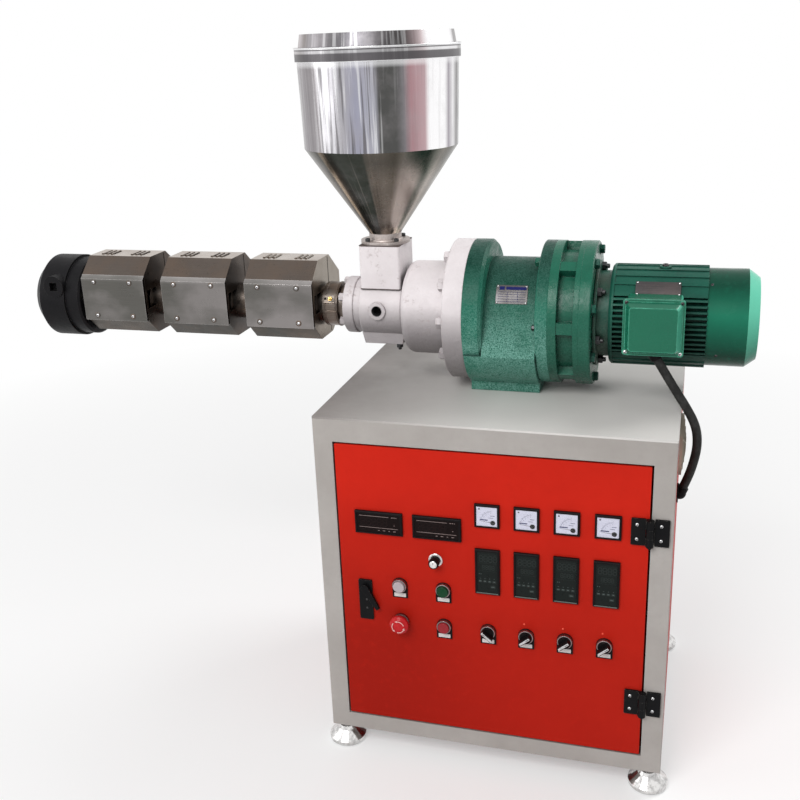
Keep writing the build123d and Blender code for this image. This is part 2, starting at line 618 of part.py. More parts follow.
def make_die():
    c = DIE_CHAMFER
    ring_x = DIE_X1 - DIE_RING_L
    body = turned_x([(DIE_X0, 0), (DIE_X0, DIE_R - c), (DIE_X0 + c, DIE_R), (ring_x, DIE_R),
                     (ring_x, DIE_RING_R), (DIE_X1 - 4, DIE_RING_R), (DIE_X1, DIE_RING_R - 4), (DIE_X1, 0)])
    body += turned_x([(X_MIN, 0), (X_MIN, NOZZLE_TIP_R), (DIE_X0, NOZZLE_R), (DIE_X0, 0)])
    z = AXIS_Z + SOCKET_UP
    x = ring_x - SOCKET_LEFT
    body += peg(x, z, AXIS_Y - DIE_R, AXIS_Y, SOCKET_BOSS_R)
    half = SOCKET / 2
    body -= block(x - half, x + half, AXIS_Y - DIE_R - 1, AXIS_Y - DIE_R + SOCKET_DEEP, z - half, z + half)
    body -= disc(X_MIN - 1, X_MIN + DIE_BORE_L, DIE_BORE_R)
    parts["die_head"] = body - disc(X_MIN + DIE_BORE_L, DIE_X1 + 1, BORE_R)


def make_barrel():
    parts["barrel"] = disc(DIE_X1, COLLAR_X0, BARREL_R) - disc(DIE_X1 - 1, COLLAR_X0 + 1, BORE_R)
    bands = []
    for x0 in cover_stations():
        mid = x0 + COVER_L / 2
        for a, b in ((x0 + BAND_GAP, mid - BAND_GAP / 2), (mid + BAND_GAP / 2, x0 + COVER_L - BAND_GAP)):
            bands.append(disc(a, b, BAND_R) - disc(a - 1, b + 1, BARREL_R))
    parts["heater_bands"] = Compound(bands)


def cover_stations():
    return [COVER_X0 + i * COVER_PITCH for i in range(COVERS)]


def cover_section():
    """Eight-sided section of a heater cover, as (Y, Z) about the screw axis."""
    f, d, b = COVER_FLAT, COVER_FRONT_D, COVER_BACK_D
    return make_face(Polyline((-f, COVER_UP), (f, COVER_UP), (b, COVER_BACK_UP), (b, -COVER_SIDE_DOWN),
                              (f, -COVER_DOWN), (-f, -COVER_DOWN), (-d, -COVER_SIDE_DOWN),
                              (-d, COVER_SIDE_UP), close=True))


def heater_cover(x0):
    """Folded sheet cover with vents on top and a terminal opening in each end."""
    x1 = x0 + COVER_L
    s = COVER_SHEET
    shell = section_x(x0, x1, cover_section())
    shell -= section_x(x0 + s, x1 - s, offset(cover_section(), -s))
    shell -= disc(x0 - 1, x1 + 1, BARREL_R)
    z = AXIS_Z + COVER_SLOT_UP
    front = AXIS_Y - COVER_FRONT_D + 3 * s
    shell -= block(x0 - 1, x1 + 1, front, AXIS_Y, z - COVER_SLOT_H / 2, z + COVER_SLOT_H / 2)
    for side in (-1, 1):
        for i in range(VENTS):
            x = x0 + COVER_L / 2 + side * VENT_GROUP + (i - (VENTS - 1) / 2) * VENT_PITCH
            shell -= block(x - VENT_W / 2, x + VENT_W / 2, AXIS_Y - VENT_L / 2, AXIS_Y + VENT_L / 2,
                           AXIS_Z + COVER_UP - 2 * s, AXIS_Z + COVER_UP + s)
    return shell


def cover_plate(x0):
    """Bent plate on a cover's front, open at its ends, with its top edge leaning back."""
    d, t, s = -COVER_FRONT_D, PLATE_T, PLATE_SHEET
    top, low = COVER_SIDE_UP, -COVER_SIDE_DOWN
    outer = Polyline((d, top), (d - t, top - t), (d - t, low), (d, low), close=True)
    k = s * tan(radians(22.5))
    inner = Polyline((d + 1, top - t + k + (t - s) + 1), (d - t + s, top - t - k), (d - t + s, low + s),
                     (d + 1, low + s), close=True)
    x1 = x0 + COVER_L
    return section_x(x0, x1, make_face(outer)) - section_x(x0 - 1, x1 + 1, make_face(inner))


def make_covers():
    parts["heater_covers"] = Compound([heater_cover(x0) for x0 in cover_stations()])
    parts["cover_plates"] = Compound([cover_plate(x0) for x0 in cover_stations()])


def make_feed_housing():
    x0, x1 = BLOCK_X0, BLOCK_X0 + BLOCK_W
    y0, y1 = AXIS_Y - THROAT_D / 2, AXIS_Y + THROAT_D / 2
    seam = AXIS_Z + BLOCK_SEAM_UP
    low = AXIS_Z - BLOCK_FOOT_DOWN
    drum = fillet(disc(x0, x1, BLOCK_R).edges().filter_by(GeomType.CIRCLE), CORNER_R)
    body = drum + block(x0 + CORNER_R, x1 - CORNER_R, y0 + CORNER_R, y1 - CORNER_R, AXIS_Z, seam)
    slope = (x1 - x0 - BLOCK_FOOT_W) / 2
    foot = Polyline((x0, AXIS_Z), (x1, AXIS_Z), (x1, low + BLOCK_FOOT_SLOPE), (x1 - slope, low),
                    (x0 + slope, low), (x0, low + BLOCK_FOOT_SLOPE), close=True)
    half = BLOCK_FOOT_D / 2
    plane = Plane(origin=(0, AXIS_Y - half, 0), x_dir=(1, 0, 0), z_dir=(0, -1, 0))
    body += extrude(plane * make_face(foot), -BLOCK_FOOT_D)
    port_x, port_z = THROAT_X - PORT_LEFT, AXIS_Z + PORT_UP
    port_y = AXIS_Y - BLOCK_R - PORT_BOSS_T
    body += peg(port_x, port_z, port_y, AXIS_Y, PORT_BOSS_R)
    body -= peg(port_x, port_z, port_y - 1, port_y + PORT_L, PORT_R)
    collar = disc(COLLAR_X0, COLLAR_X0 + COLLAR_T, COLLAR_R)
    body += fillet(collar.edges().filter_by(GeomType.CIRCLE), 2)
    body += disc(COLLAR_X0 + COLLAR_T - 1, x0 + CORNER_R, NECK_R)
    body += disc(x1 - CORNER_R, BELL_X0, BLOCK_R - CORNER_R)
    body -= block(x0 - 1, x1 + 1, y0 - BLOCK_R, y1 + BLOCK_R, seam, seam + BLOCK_R)
    body -= disc(COLLAR_X0 - 1, x1, BORE_R)
    body -= post(THROAT_X, AXIS_Y, AXIS_Z, seam + 1, THROAT_HOLE_R)
    parts["feed_housing"] = body
    top = AXIS_Z + THROAT_UP
    upper = block(THROAT_X - THROAT_W / 2, THROAT_X + THROAT_W / 2, y0, y1, seam, top)
    upper = fillet(upper.edges().filter_by(Axis.Z), CORNER_R)
    upper = fillet(upper.faces().sort_by(Axis.Z)[-1].edges(), CORNER_R / 2)
    parts["throat_block"] = upper - post(THROAT_X, AXIS_Y, seam - 1, top + 1, THROAT_HOLE_R)


def make_hopper():
    base = AXIS_Z + THROAT_UP
    seat = base + HOPPER_FLANGE_T
    neck_top = seat + HOPPER_NECK_H
    shoulder = neck_top + CONE_H
    rim = shoulder + CYL_H
    w = HOPPER_WALL
    lean = w * ((HOPPER_SHOULDER_R - HOPPER_NECK_R) ** 2 + CONE_H ** 2) ** 0.5 / CONE_H
    flange = post(THROAT_X, AXIS_Y, base, seat, HOPPER_FLANGE_R)
    for side in (-1, 1):
        flange &= block(THROAT_X - HOPPER_FLANGE_R, THROAT_X + HOPPER_FLANGE_R, AXIS_Y - THROAT_D / 2 + 4,
                        AXIS_Y + THROAT_D / 2 - 4, base - 1, seat + 1)
    flange -= post(THROAT_X, AXIS_Y, base - 1, seat + 1, THROAT_HOLE_R)
    neck = post(THROAT_X, AXIS_Y, seat, neck_top, HOPPER_NECK_R)
    parts["hopper_flange"] = flange + (neck - post(THROAT_X, AXIS_Y, seat - 1, neck_top + 1, HOPPER_NECK_R - w))
    parts["hopper_cone"] = turned_z([
        (HOPPER_NECK_R, neck_top), (HOPPER_SHOULDER_R, shoulder),
        (HOPPER_SHOULDER_R - lean, shoulder), (HOPPER_NECK_R - lean, neck_top)], THROAT_X, AXIS_Y)
    parts["hopper_shell"] = turned_z([
        (HOPPER_SHOULDER_R, shoulder), (HOPPER_R, rim), (HOPPER_R - w, rim),
        (HOPPER_SHOULDER_R - w, shoulder)], THROAT_X, AXIS_Y)
    ledge = rim + LID_SEAT
    crown = rim + LID_CROWN_H
    inner = HOPPER_R + LID_ROOM
    lid = turned_z([
        (inner, ledge), (inner, rim - LID_SKIRT_H), (inner + w, rim - LID_SKIRT_H), (inner + w, ledge + w),
        (LID_CROWN_R, ledge + w), (LID_CROWN_R - LID_LEAN, crown), (0, crown), (0, crown - w),
        (LID_CROWN_R - LID_LEAN - w, crown - w), (LID_CROWN_R - w, ledge)], THROAT_X, AXIS_Y)
    bead = Pos(THROAT_X, AXIS_Y, ledge + w - LID_BEAD_R) * Torus(inner + w, LID_BEAD_R)
    parts["hopper_lid"] = lid + bead


def make_bearing_housing():
    r = BELL_SHOULDER
    slant = r * (1 - cos(radians(45)))
    edge = ThreePointArc((BELL_X0, 0, BELL_R - r), (BELL_X0 + slant, 0, BELL_R - slant),
                         (BELL_X0 + r, 0, BELL_R))
    outline = Polyline((BELL_X0 + r, 0, BELL_R), (WHITE_X0, 0, BELL_R), (WHITE_X0, 0, 0),
                       (BELL_X0, 0, 0), (BELL_X0, 0, BELL_R - r))
    bell = Pos(0, AXIS_Y, AXIS_Z) * revolve(make_face(Curve() + [edge, outline]), Axis.X)
    flange = disc(WHITE_X0, GREEN_X0, FLANGE_R)
    bell += chamfer(flange.edges().filter_by(GeomType.CIRCLE).sort_by(Axis.X)[0], FLANGE_CHAMFER)
    parts["bearing_housing"] = bell


def foot_section(flank):
    """Reducer's foot as (Y, Z): round drum on a flat pad, with flanks up to the casing if asked."""
    start = -radians(24)
    y, z = DRUM_R * cos(start), DRUM_R * sin(start)
    arc = ThreePointArc((y, z), (0, -DRUM_R), (-y, z))
    if flank:
        up = (CASING_R ** 2 - DRUM_SIDE_UP ** 2) ** 0.5
        top = Polyline((-y, z), (-up, DRUM_SIDE_UP), (up, DRUM_SIDE_UP), (y, z))
    else:
        top = Line((-y, z), (y, z))
    drum = make_face(Curve() + [arc, top])
    pad = Pos(0, PAD_H / 2 - AXIS_H) * Rectangle(2 * PAD_HALF_D, PAD_H)
    return drum + pad


def make_reducer():
    flange = disc(GREEN_X0, CASING_X0, FLANGE_R)
    flange = chamfer(flange.edges().filter_by(GeomType.CIRCLE).sort_by(Axis.X)[-1], 3 * FLANGE_CHAMFER)
    ring = disc(RING_X0, PIN_X0, FLANGE_R)
    ring = chamfer(ring.edges().filter_by(GeomType.CIRCLE).sort_by(Axis.X)[0], FLANGE_CHAMFER)
    casing = flange + disc(CASING_X0, RING_X0, CASING_R) + ring
    casing += section_x(GREEN_X0 + FLANGE_CHAMFER, CASING_X0, foot_section(False))
    casing += section_x(CASING_X0, RING_X0, foot_section(True))
    parts["reducer_casing"] = casing
    recess_x0 = PIN_X0 + PIN_RIM_T
    pin = disc(PIN_X0, recess_x0, FLANGE_R) + disc(recess_x0, PIN_REAR_X0, PIN_RECESS_R)
    pin += disc(PIN_REAR_X0, END_X0, FLANGE_R)
    rib = block(recess_x0, PIN_REAR_X0, -FLANGE_R + 2, -PIN_RECESS_R + 4, -PIN_RIB_W / 2, PIN_RIB_W / 2)
    for copy in around(rib, PIN_RIBS, PIN_RIB_TURN):
        pin += copy
    parts["pin_gear_ring"] = pin
    end = disc(END_X0, ADAPTOR_X0, FLANGE_R)
    parts["end_flange"] = chamfer(end.edges().filter_by(GeomType.CIRCLE).sort_by(Axis.X)[-1], FLANGE_CHAMFER)


def fin_section():
    """Motor housing as (Y, Z): level fins at its sides, smooth above and below between low ribs."""
    reach = FIN_REACH * MOTOR_R
    count = int(reach / FIN_PITCH)
    wide = 2 * MOTOR_R
    sides = Rectangle(2 * wide, 2 * reach)
    bars = Sketch() + [Pos(0, i * FIN_PITCH) * Rectangle(wide, FIN_T) for i in range(-count, count + 1)]
    fins = bars & Circle(MOTOR_R)
    smooth = Circle(MOTOR_R - RIB_OUT) - sides
    ribs = Sketch() + [Rot(0, 0, a) * Rectangle(RIB_W, wide) for a in RIB_TURNS]
    return Circle(MOTOR_CORE_R) + fins + smooth + (ribs & Circle(MOTOR_R))


def make_motor():
    foot = disc(ADAPTOR_X0, ADAPTOR_X0 + 6, MOTOR_R)
    neck = disc(ADAPTOR_X0 + 6, MOTOR_X0, ADAPTOR_R)
    parts["motor_adaptor"] = foot + neck
    shield = disc(MOTOR_X0, MOTOR_X0 + END_SHIELD_L, MOTOR_R)
    shield = chamfer(shield.edges().filter_by(GeomType.CIRCLE).sort_by(Axis.X)[0], 4)
    body = shield + section_x(MOTOR_X0 + END_SHIELD_L, COWL_X0, fin_section())
    body += disc(COWL_X0, COWL_X0 + COWL_LAP, COWL_R - COWL_SHEET)
    fan_x0 = COWL_X0 + COWL_LAP + FAN_GAP
    half = FAN_BLADE_T / 2
    blade = block(fan_x0, fan_x0 + FAN_BLADE_L, -half, half, FAN_HUB_R - 2, FAN_BLADE_R)
    body += disc(COWL_X0, fan_x0 + FAN_BLADE_L + 2, FAN_HUB_R)
    for copy in around(blade, FAN_BLADES):
        body += copy
    parts["motor_body"] = body


def make_cowl():
    s = COWL_SHEET
    end = COWL_X0 + COWL_L
    cowl = turned_x([(COWL_X0, COWL_R), (end, COWL_R), (MOTOR_END, COWL_END_R), (MOTOR_END, 0),
                     (MOTOR_END - s, 0), (MOTOR_END - s, COWL_END_R - s), (end, COWL_R - s),
                     (COWL_X0, COWL_R - s)])
    spokes = [block(0, 4 * s, -GRILLE_SPOKE_W / 2, GRILLE_SPOKE_W / 2, 0, COWL_R)]
    for inner, outer in zip(GRILLE_R[::2], GRILLE_R[1::2]):
        slot = disc(MOTOR_END - 2 * s, MOTOR_END + s, outer)
        slot -= disc(MOTOR_END - 3 * s, MOTOR_END + 2 * s, inner)
        for spoke in around(Pos(MOTOR_END - 3 * s, 0, 0) * spokes[0], GRILLE_SPOKES):
            slot -= spoke
        cowl -= slot
    parts["fan_cowl"] = cowl


def make_terminal_box():
    x0, x1 = TBOX_X0, TBOX_X0 + TBOX_W
    z0, z1 = TBOX_Z0, TBOX_Z0 + TBOX_H
    rim_y = AXIS_Y - TBOX_OUT
    inset = TBOX_LID_EDGE
    wall_y = AXIS_Y - MOTOR_CORE_R + TBOX_SUNK
    box = block(x0 + inset, x1 - inset, rim_y + TBOX_LID_T, wall_y, z0 + inset / 2, z1 - inset)
    box = fillet(box.edges().filter_by(Axis.Y), TBOX_ROUND)
    parts["terminal_box"] = box - section_x(MOTOR_X0, COWL_X0, fin_section())
    lid = block(x0, x1, rim_y, rim_y + TBOX_LID_T, z0, z1)
    lid = fillet(lid.edges().filter_by(Axis.Y), TBOX_ROUND)
    e, k = TBOX_LID_EDGE, TBOX_LID_EDGE + TBOX_LID_SLOPE
    base = Plane(origin=((x0 + x1) / 2, rim_y, (z0 + z1) / 2), x_dir=(1, 0, 0), z_dir=(0, -1, 0))
    low = base * RectangleRounded(TBOX_W - 2 * e, TBOX_H - 2 * e, TBOX_ROUND)
    high = base.offset(TBOX_LID_RAISE) * RectangleRounded(TBOX_W - 2 * k, TBOX_H - 2 * k, TBOX_ROUND)
    parts["terminal_lid"] = lid + loft([low, high])


def cable_points():
    return [Vector(CAB_W + x, CABLE_Y, TOP_Z + z) for x, z in CABLE_ROUTE]


def cable_radii(points):
    """Bend radius at each inner point, kept inside the neighbouring runs."""
    radii = []
    for a, b, c in zip(points, points[1:], points[2:]):
        half = radians((b - a).get_angle(c - b)) / 2
        radii.append(0.45 * min((b - a).length, (c - b).length) / tan(half))
    return radii


def side_gland():
    """Centre of the swivel joint where the cable enters the cabinet's side."""
    a, b = cable_points()[-2:]
    return b + (b - a).normalized() * GLAND_NUT_L


def swivel_gland(point, inward, stem_turn):
    """Strain relief: nut along the cable, round joint, and a stem turned towards its wall."""
    low = (Align.CENTER, Align.CENTER, Align.MIN)
    centre = point + inward * GLAND_NUT_L
    nut = Plane(origin=point, z_dir=inward) * Cylinder(GLAND_R, GLAND_NUT_L, align=low)
    joint = Sphere(GLAND_BALL_R) + stem_turn * Cylinder(GLAND_STEM_R, GLAND_STEM_L, align=low)
    return nut + Pos(*centre) * joint


def make_cable():
    points = cable_points()
    radii = cable_radii(points)
    path = FilletPolyline(*points, radius=radii)
    start = Plane(origin=path @ 0, z_dir=path % 0)
    tube = sweep(start * Circle(CABLE_R), path)
    parts["motor_cable"] = tube
    print("cable radii", [round(r) for r in radii], "volume", round(tube.volume),
          "section x length", round(pi * CABLE_R ** 2 * path.length))
    up = swivel_gland(points[0], (points[0] - points[1]).normalized(), Rot(0, 0, 0))
    under = TBOX_Z0 + TBOX_LID_EDGE / 2
    wide = 2 * GLAND_STEM_L
    up -= block(points[0].X - wide, points[0].X + wide, CABLE_Y - wide, CABLE_Y + wide, under, under + wide)
    side = swivel_gland(points[-1], (points[-1] - points[-2]).normalized(), Rot(0, -90, 0))
    side += disc(CAB_W, CAB_W + GLAND_FLANGE_T, GLAND_FLANGE_R, CABLE_Y, side_gland().Z)
    parts["cable_glands"] = Compound([up, side])


make_cabinet()
make_fan_guard()
make_feet()
make_door()
make_instruments()
parts["control_bases"] = Compound(make_buttons() + make_selectors() + make_speed_knob())
make_latch()
make_hinges()
make_die()
make_barrel()
make_covers()
make_feed_housing()
make_hopper()
make_bearing_housing()
make_reducer()
make_motor()
make_cowl()
make_terminal_box()
make_cable()

for name, shape in parts.items():
    export_step(Pos(-ROW_X, -ROW_Y, 0) * shape, f"parts/{name}.step")
print(len(parts), "nodes; row origin at", ROW_X, ROW_Y)
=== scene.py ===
"""Finishes, small parts and studio of the plastic extruder, built around its fixed frame."""

import logging
import math
from dataclasses import dataclass
from enum import Enum
from typing import Iterable, Sequence

import bpy
from mathutils import Matrix, Vector


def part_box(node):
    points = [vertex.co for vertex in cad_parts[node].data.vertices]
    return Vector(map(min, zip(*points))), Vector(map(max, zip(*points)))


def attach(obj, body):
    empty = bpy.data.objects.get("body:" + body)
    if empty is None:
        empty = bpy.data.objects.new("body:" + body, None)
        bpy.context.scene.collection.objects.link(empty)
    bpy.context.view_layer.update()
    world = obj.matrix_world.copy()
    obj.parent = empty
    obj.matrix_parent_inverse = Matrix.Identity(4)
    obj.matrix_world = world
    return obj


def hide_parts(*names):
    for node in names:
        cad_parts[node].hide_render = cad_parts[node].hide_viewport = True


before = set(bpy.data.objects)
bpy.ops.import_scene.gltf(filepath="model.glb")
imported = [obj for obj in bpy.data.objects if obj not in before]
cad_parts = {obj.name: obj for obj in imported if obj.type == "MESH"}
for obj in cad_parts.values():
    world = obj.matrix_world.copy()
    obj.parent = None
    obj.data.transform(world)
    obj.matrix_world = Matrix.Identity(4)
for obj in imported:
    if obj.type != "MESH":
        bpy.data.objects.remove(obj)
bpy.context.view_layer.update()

LOG = logging.getLogger("extruder")

Colour = tuple[float, float, float]
Outline = list[tuple[float, float]]
Socket = bpy.types.NodeSocket
Value = Socket | float | Sequence[float]


class Body(str, Enum):
    """Bodies of the machine that pieces ride on."""

    FRAME = "frame"
    DOOR = "door"
    STOP = "stop_button"
    SPEED = "speed_knob"
    SELECTOR_1 = "selector_1"
    SELECTOR_2 = "selector_2"
    SELECTOR_3 = "selector_3"
    SELECTOR_4 = "selector_4"


class Slot(str, Enum):
    """Material slots of the record that added pieces share."""

    BLACK_STEEL = "black_steel"
    BARE = "bare_steel"
    STAINLESS = "stainless"
    WHITE = "white_casting"
    GREEN = "green_casting"
    RUBBER = "black_rubber"
    WHITE_PLASTIC = "white_plastic"
    RED_PLASTIC = "red_plastic"


SELECTORS = ("selector_1", "selector_2", "selector_3", "selector_4")
BRUSH = (3.0, 260.0, 260.0)


class Datum:
    """Millimetres from the cabinet's left, front corner on the floor, taken into the row frame."""

    corner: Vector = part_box("cabinet_frame")[0]
    axis_y: float = 272.0
    axis_z: float = 900.0

    @classmethod
    def place(cls, x: float, y: float, z: float) -> Vector:
        """Point in the row frame, in metres."""
        return Vector((x / 1000 + cls.corner.x, y / 1000 + cls.corner.y, z / 1000))

    @classmethod
    def span(cls, node: str) -> tuple[Vector, Vector]:
        """Lowest and highest corner of a frame node, in millimetres from the datum."""
        low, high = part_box(node)
        shift = Vector((cls.corner.x, cls.corner.y, 0))
        return (low - shift) * 1000, (high - shift) * 1000


class Recipe:
    """Node tree of one finish, wired call by call."""

    def __init__(self, name: str, colour: Colour = (0.5, 0.5, 0.5), roughness: float = 0.5,
                 metallic: float = 0.0, coat: float = 0.0, specular: float = 0.5) -> None:
        """Start a material with a principled shader.

        Args:
            name: name of the material.
            colour: plain base colour, used until one is fed in.
            roughness: plain roughness.
            metallic: 0 for paint and plastic, 1 for bare metal.
            coat: weight of a clear coat.
            specular: strength of the mirror-like share.
        """
        self.material = bpy.data.materials.new(name)
        self.material.use_nodes = True
        self.tree = self.material.node_tree
        self.tree.nodes.clear()
        self.out = self.tree.nodes.new("ShaderNodeOutputMaterial")
        self.skin = self.tree.nodes.new("ShaderNodeBsdfPrincipled")
        self.tree.links.new(self.skin.outputs[0], self.out.inputs[0])
        self.skin.inputs["Base Color"].default_value = (*colour, 1.0)
        self.skin.inputs["Roughness"].default_value = roughness
        self.skin.inputs["Metallic"].default_value = metallic
        self.skin.inputs["Coat Weight"].default_value = coat
        self.skin.inputs["Coat Roughness"].default_value = 0.12
        self.skin.inputs["Specular IOR Level"].default_value = specular
        self.where = self.tree.nodes.new("ShaderNodeTexCoord").outputs["Object"]

    def feed(self, socket: Socket, value: Value) -> None:
        """Link a socket into another, or set its number or colour."""
        if isinstance(value, bpy.types.NodeSocket):
            self.tree.links.new(value, socket)
        elif isinstance(value, (tuple, list)) and len(value) == 3 and socket.type == "RGBA":
            socket.default_value = (*value, 1.0)
        else:
            socket.default_value = value

    def node(self, kind: str, inputs: dict[str | int, Value] | None = None, **settings: object) -> bpy.types.Node:
        """Add a node.

        Args:
            kind: Blender's name of the node type.
            inputs: values or links by input name or number.
            settings: properties set before the inputs.

        Returns:
            The new node.
        """
        made = self.tree.nodes.new(kind)
        for key, value in settings.items():
            setattr(made, key, value)
        for key, value in (inputs or {}).items():
            self.feed(made.inputs[key], value)
        return made

    def stretched(self, scale: Sequence[float]) -> Socket:
        """Coordinates scaled differently along each axis."""
        return self.node("ShaderNodeMapping", {"Vector": self.where, "Scale": scale}).outputs[0]

    def noise(self, scale: float, detail: float = 4.0, rough: float = 0.55, source: Socket | None = None) -> Socket:
        """Cloudy value from 0 to 1; scale counts clouds in a metre."""
        inputs = {"Vector": source or self.where, "Scale": scale, "Detail": detail, "Roughness": rough}
        return self.node("ShaderNodeTexNoise", inputs).outputs[0]

    def band(self, value: Value, low: float, high: float, to_low: float = 0.0, to_high: float = 1.0) -> Socket:
        """Stretch a range of a value onto another range, cut off outside it."""
        keys = {"Value": value, "From Min": low, "From Max": high, "To Min": to_low, "To Max": to_high}
        return self.node("ShaderNodeMapRange", keys).outputs[0]

    def blend(self, share: Value, first: Value, second: Value) -> Socket:
        """Colour between two others."""
        made = self.node("ShaderNodeMix", data_type="RGBA")
        for index, value in ((0, share), (6, first), (7, second)):
            self.feed(made.inputs[index], value)
        return made.outputs[2]

    def sum(self, way: str, first: Value, second: Value = 0.0) -> Socket:
        """Arithmetic on two values, named as Blender names it."""
        made = self.node("ShaderNodeMath", operation=way)
        self.feed(made.inputs[0], first)
        self.feed(made.inputs[1], second)
        return made.outputs[0]

    def times(self, first: Value, second: Value) -> Socket:
        """Product of two values."""
        return self.sum("MULTIPLY", first, second)

    def part(self, axis: str) -> Socket:
        """One coordinate of the row frame, in metres."""
        return self.node("ShaderNodeSeparateXYZ", {0: self.where}).outputs[axis]

    def facing(self, axis: str) -> Socket:
        """How far the surface faces along one axis of the row frame, from -1 to 1."""
        normal = self.node("ShaderNodeNewGeometry").outputs["Normal"]
        return self.node("ShaderNodeSeparateXYZ", {0: normal}).outputs[axis]

    def bearing(self, x: float, y: float) -> Socket:
        """Angle round an upright axis as a share of a turn: 0 is the left side, a quarter the front."""
        east = self.sum("SUBTRACT", self.part("X"), x)
        north = self.sum("SUBTRACT", self.part("Y"), y)
        return self.sum("ADD", self.sum("DIVIDE", self.sum("ARCTAN2", north, east), 2 * math.pi), 0.5)

    def ramp(self, value: Value, stops: Sequence[tuple[float, Colour]]) -> Socket:
        """Colour that runs through a few stops."""
        made = self.node("ShaderNodeValToRGB", {0: value})
        points = made.color_ramp.elements
        while len(points) < len(stops):
            points.new(1.0)
        for point, (at, colour) in zip(points, stops):
            point.position = at
            point.color = (*colour, 1.0)
        return made.outputs[0]

    def rounded(self, radius: float) -> Socket:
        """Normal with hard edges rounded by a radius in metres."""
        return self.node("ShaderNodeBevel", {"Radius": radius}, samples=4).outputs[0]

    def grain(self, height: Value, depth: float, radius: float) -> Socket:
        """Surface normal roughened by a height value.

        Args:
            height: value that rises and falls.
            depth: full height of the grain in metres.
            radius: rounding of hard edges under the grain, in metres.

        Returns:
            The normal.
        """
        made = self.node("ShaderNodeBump", {"Height": height, "Distance": depth, "Strength": 1.0})
        self.feed(made.inputs["Normal"], self.rounded(radius))
        return made.outputs[0]

    def facing_shade(self, tone: Socket, dark: Colour, crown: float, belly: float) -> Socket:
        """Tone with painted shade on faces that look up and on faces that look down.

        Args:
            tone: colour so far.
            dark: colour of the painted shade.
            crown: share of it on faces that look up.
            belly: share of it on faces that look down.

        Returns:
            The new colour.
        """
        up = self.facing("Z")
        if crown:
            tone = self.blend(self.band(up, 0.30, 0.80, 0, crown), tone, dark)
        if belly:
            tone = self.blend(self.band(up, 0.25, -0.60, 0, belly), tone, dark)
        return tone

    def edge(self, radius: float) -> Socket:
        """Value that is 1 on outer and inner edges and 0 on flat places."""
        inputs = {0: self.rounded(radius), 1: self.node("ShaderNodeNewGeometry").outputs["Normal"]}
        dot = self.node("ShaderNodeVectorMath", inputs, operation="DOT_PRODUCT").outputs["Value"]
        return self.band(dot, 0.999, 0.93)

    def hollow(self, reach: float) -> Socket:
        """Value that nears 1 in corners and under neighbours."""
        # Ambient occlusion: the finishes darken by this as painted shade in corners.
        shade = self.node("ShaderNodeAmbientOcclusion", {"Distance": reach}, samples=6)
        return self.band(shade.outputs["AO"], 0.75, 0.2)

    def finish(self, colour: Value | None, roughness: Value, normal: Value | None = None) -> bpy.types.Material:
        """Feed the shader and hand over the material."""
        for key, value in (("Base Color", colour), ("Roughness", roughness), ("Normal", normal)):
            if value is not None:
                self.feed(self.skin.inputs[key], value)
        return self.material


def scaled(colour: Colour, by: float) -> Colour:
    """Colour made darker by a factor."""
    return tuple(c * by for c in colour)


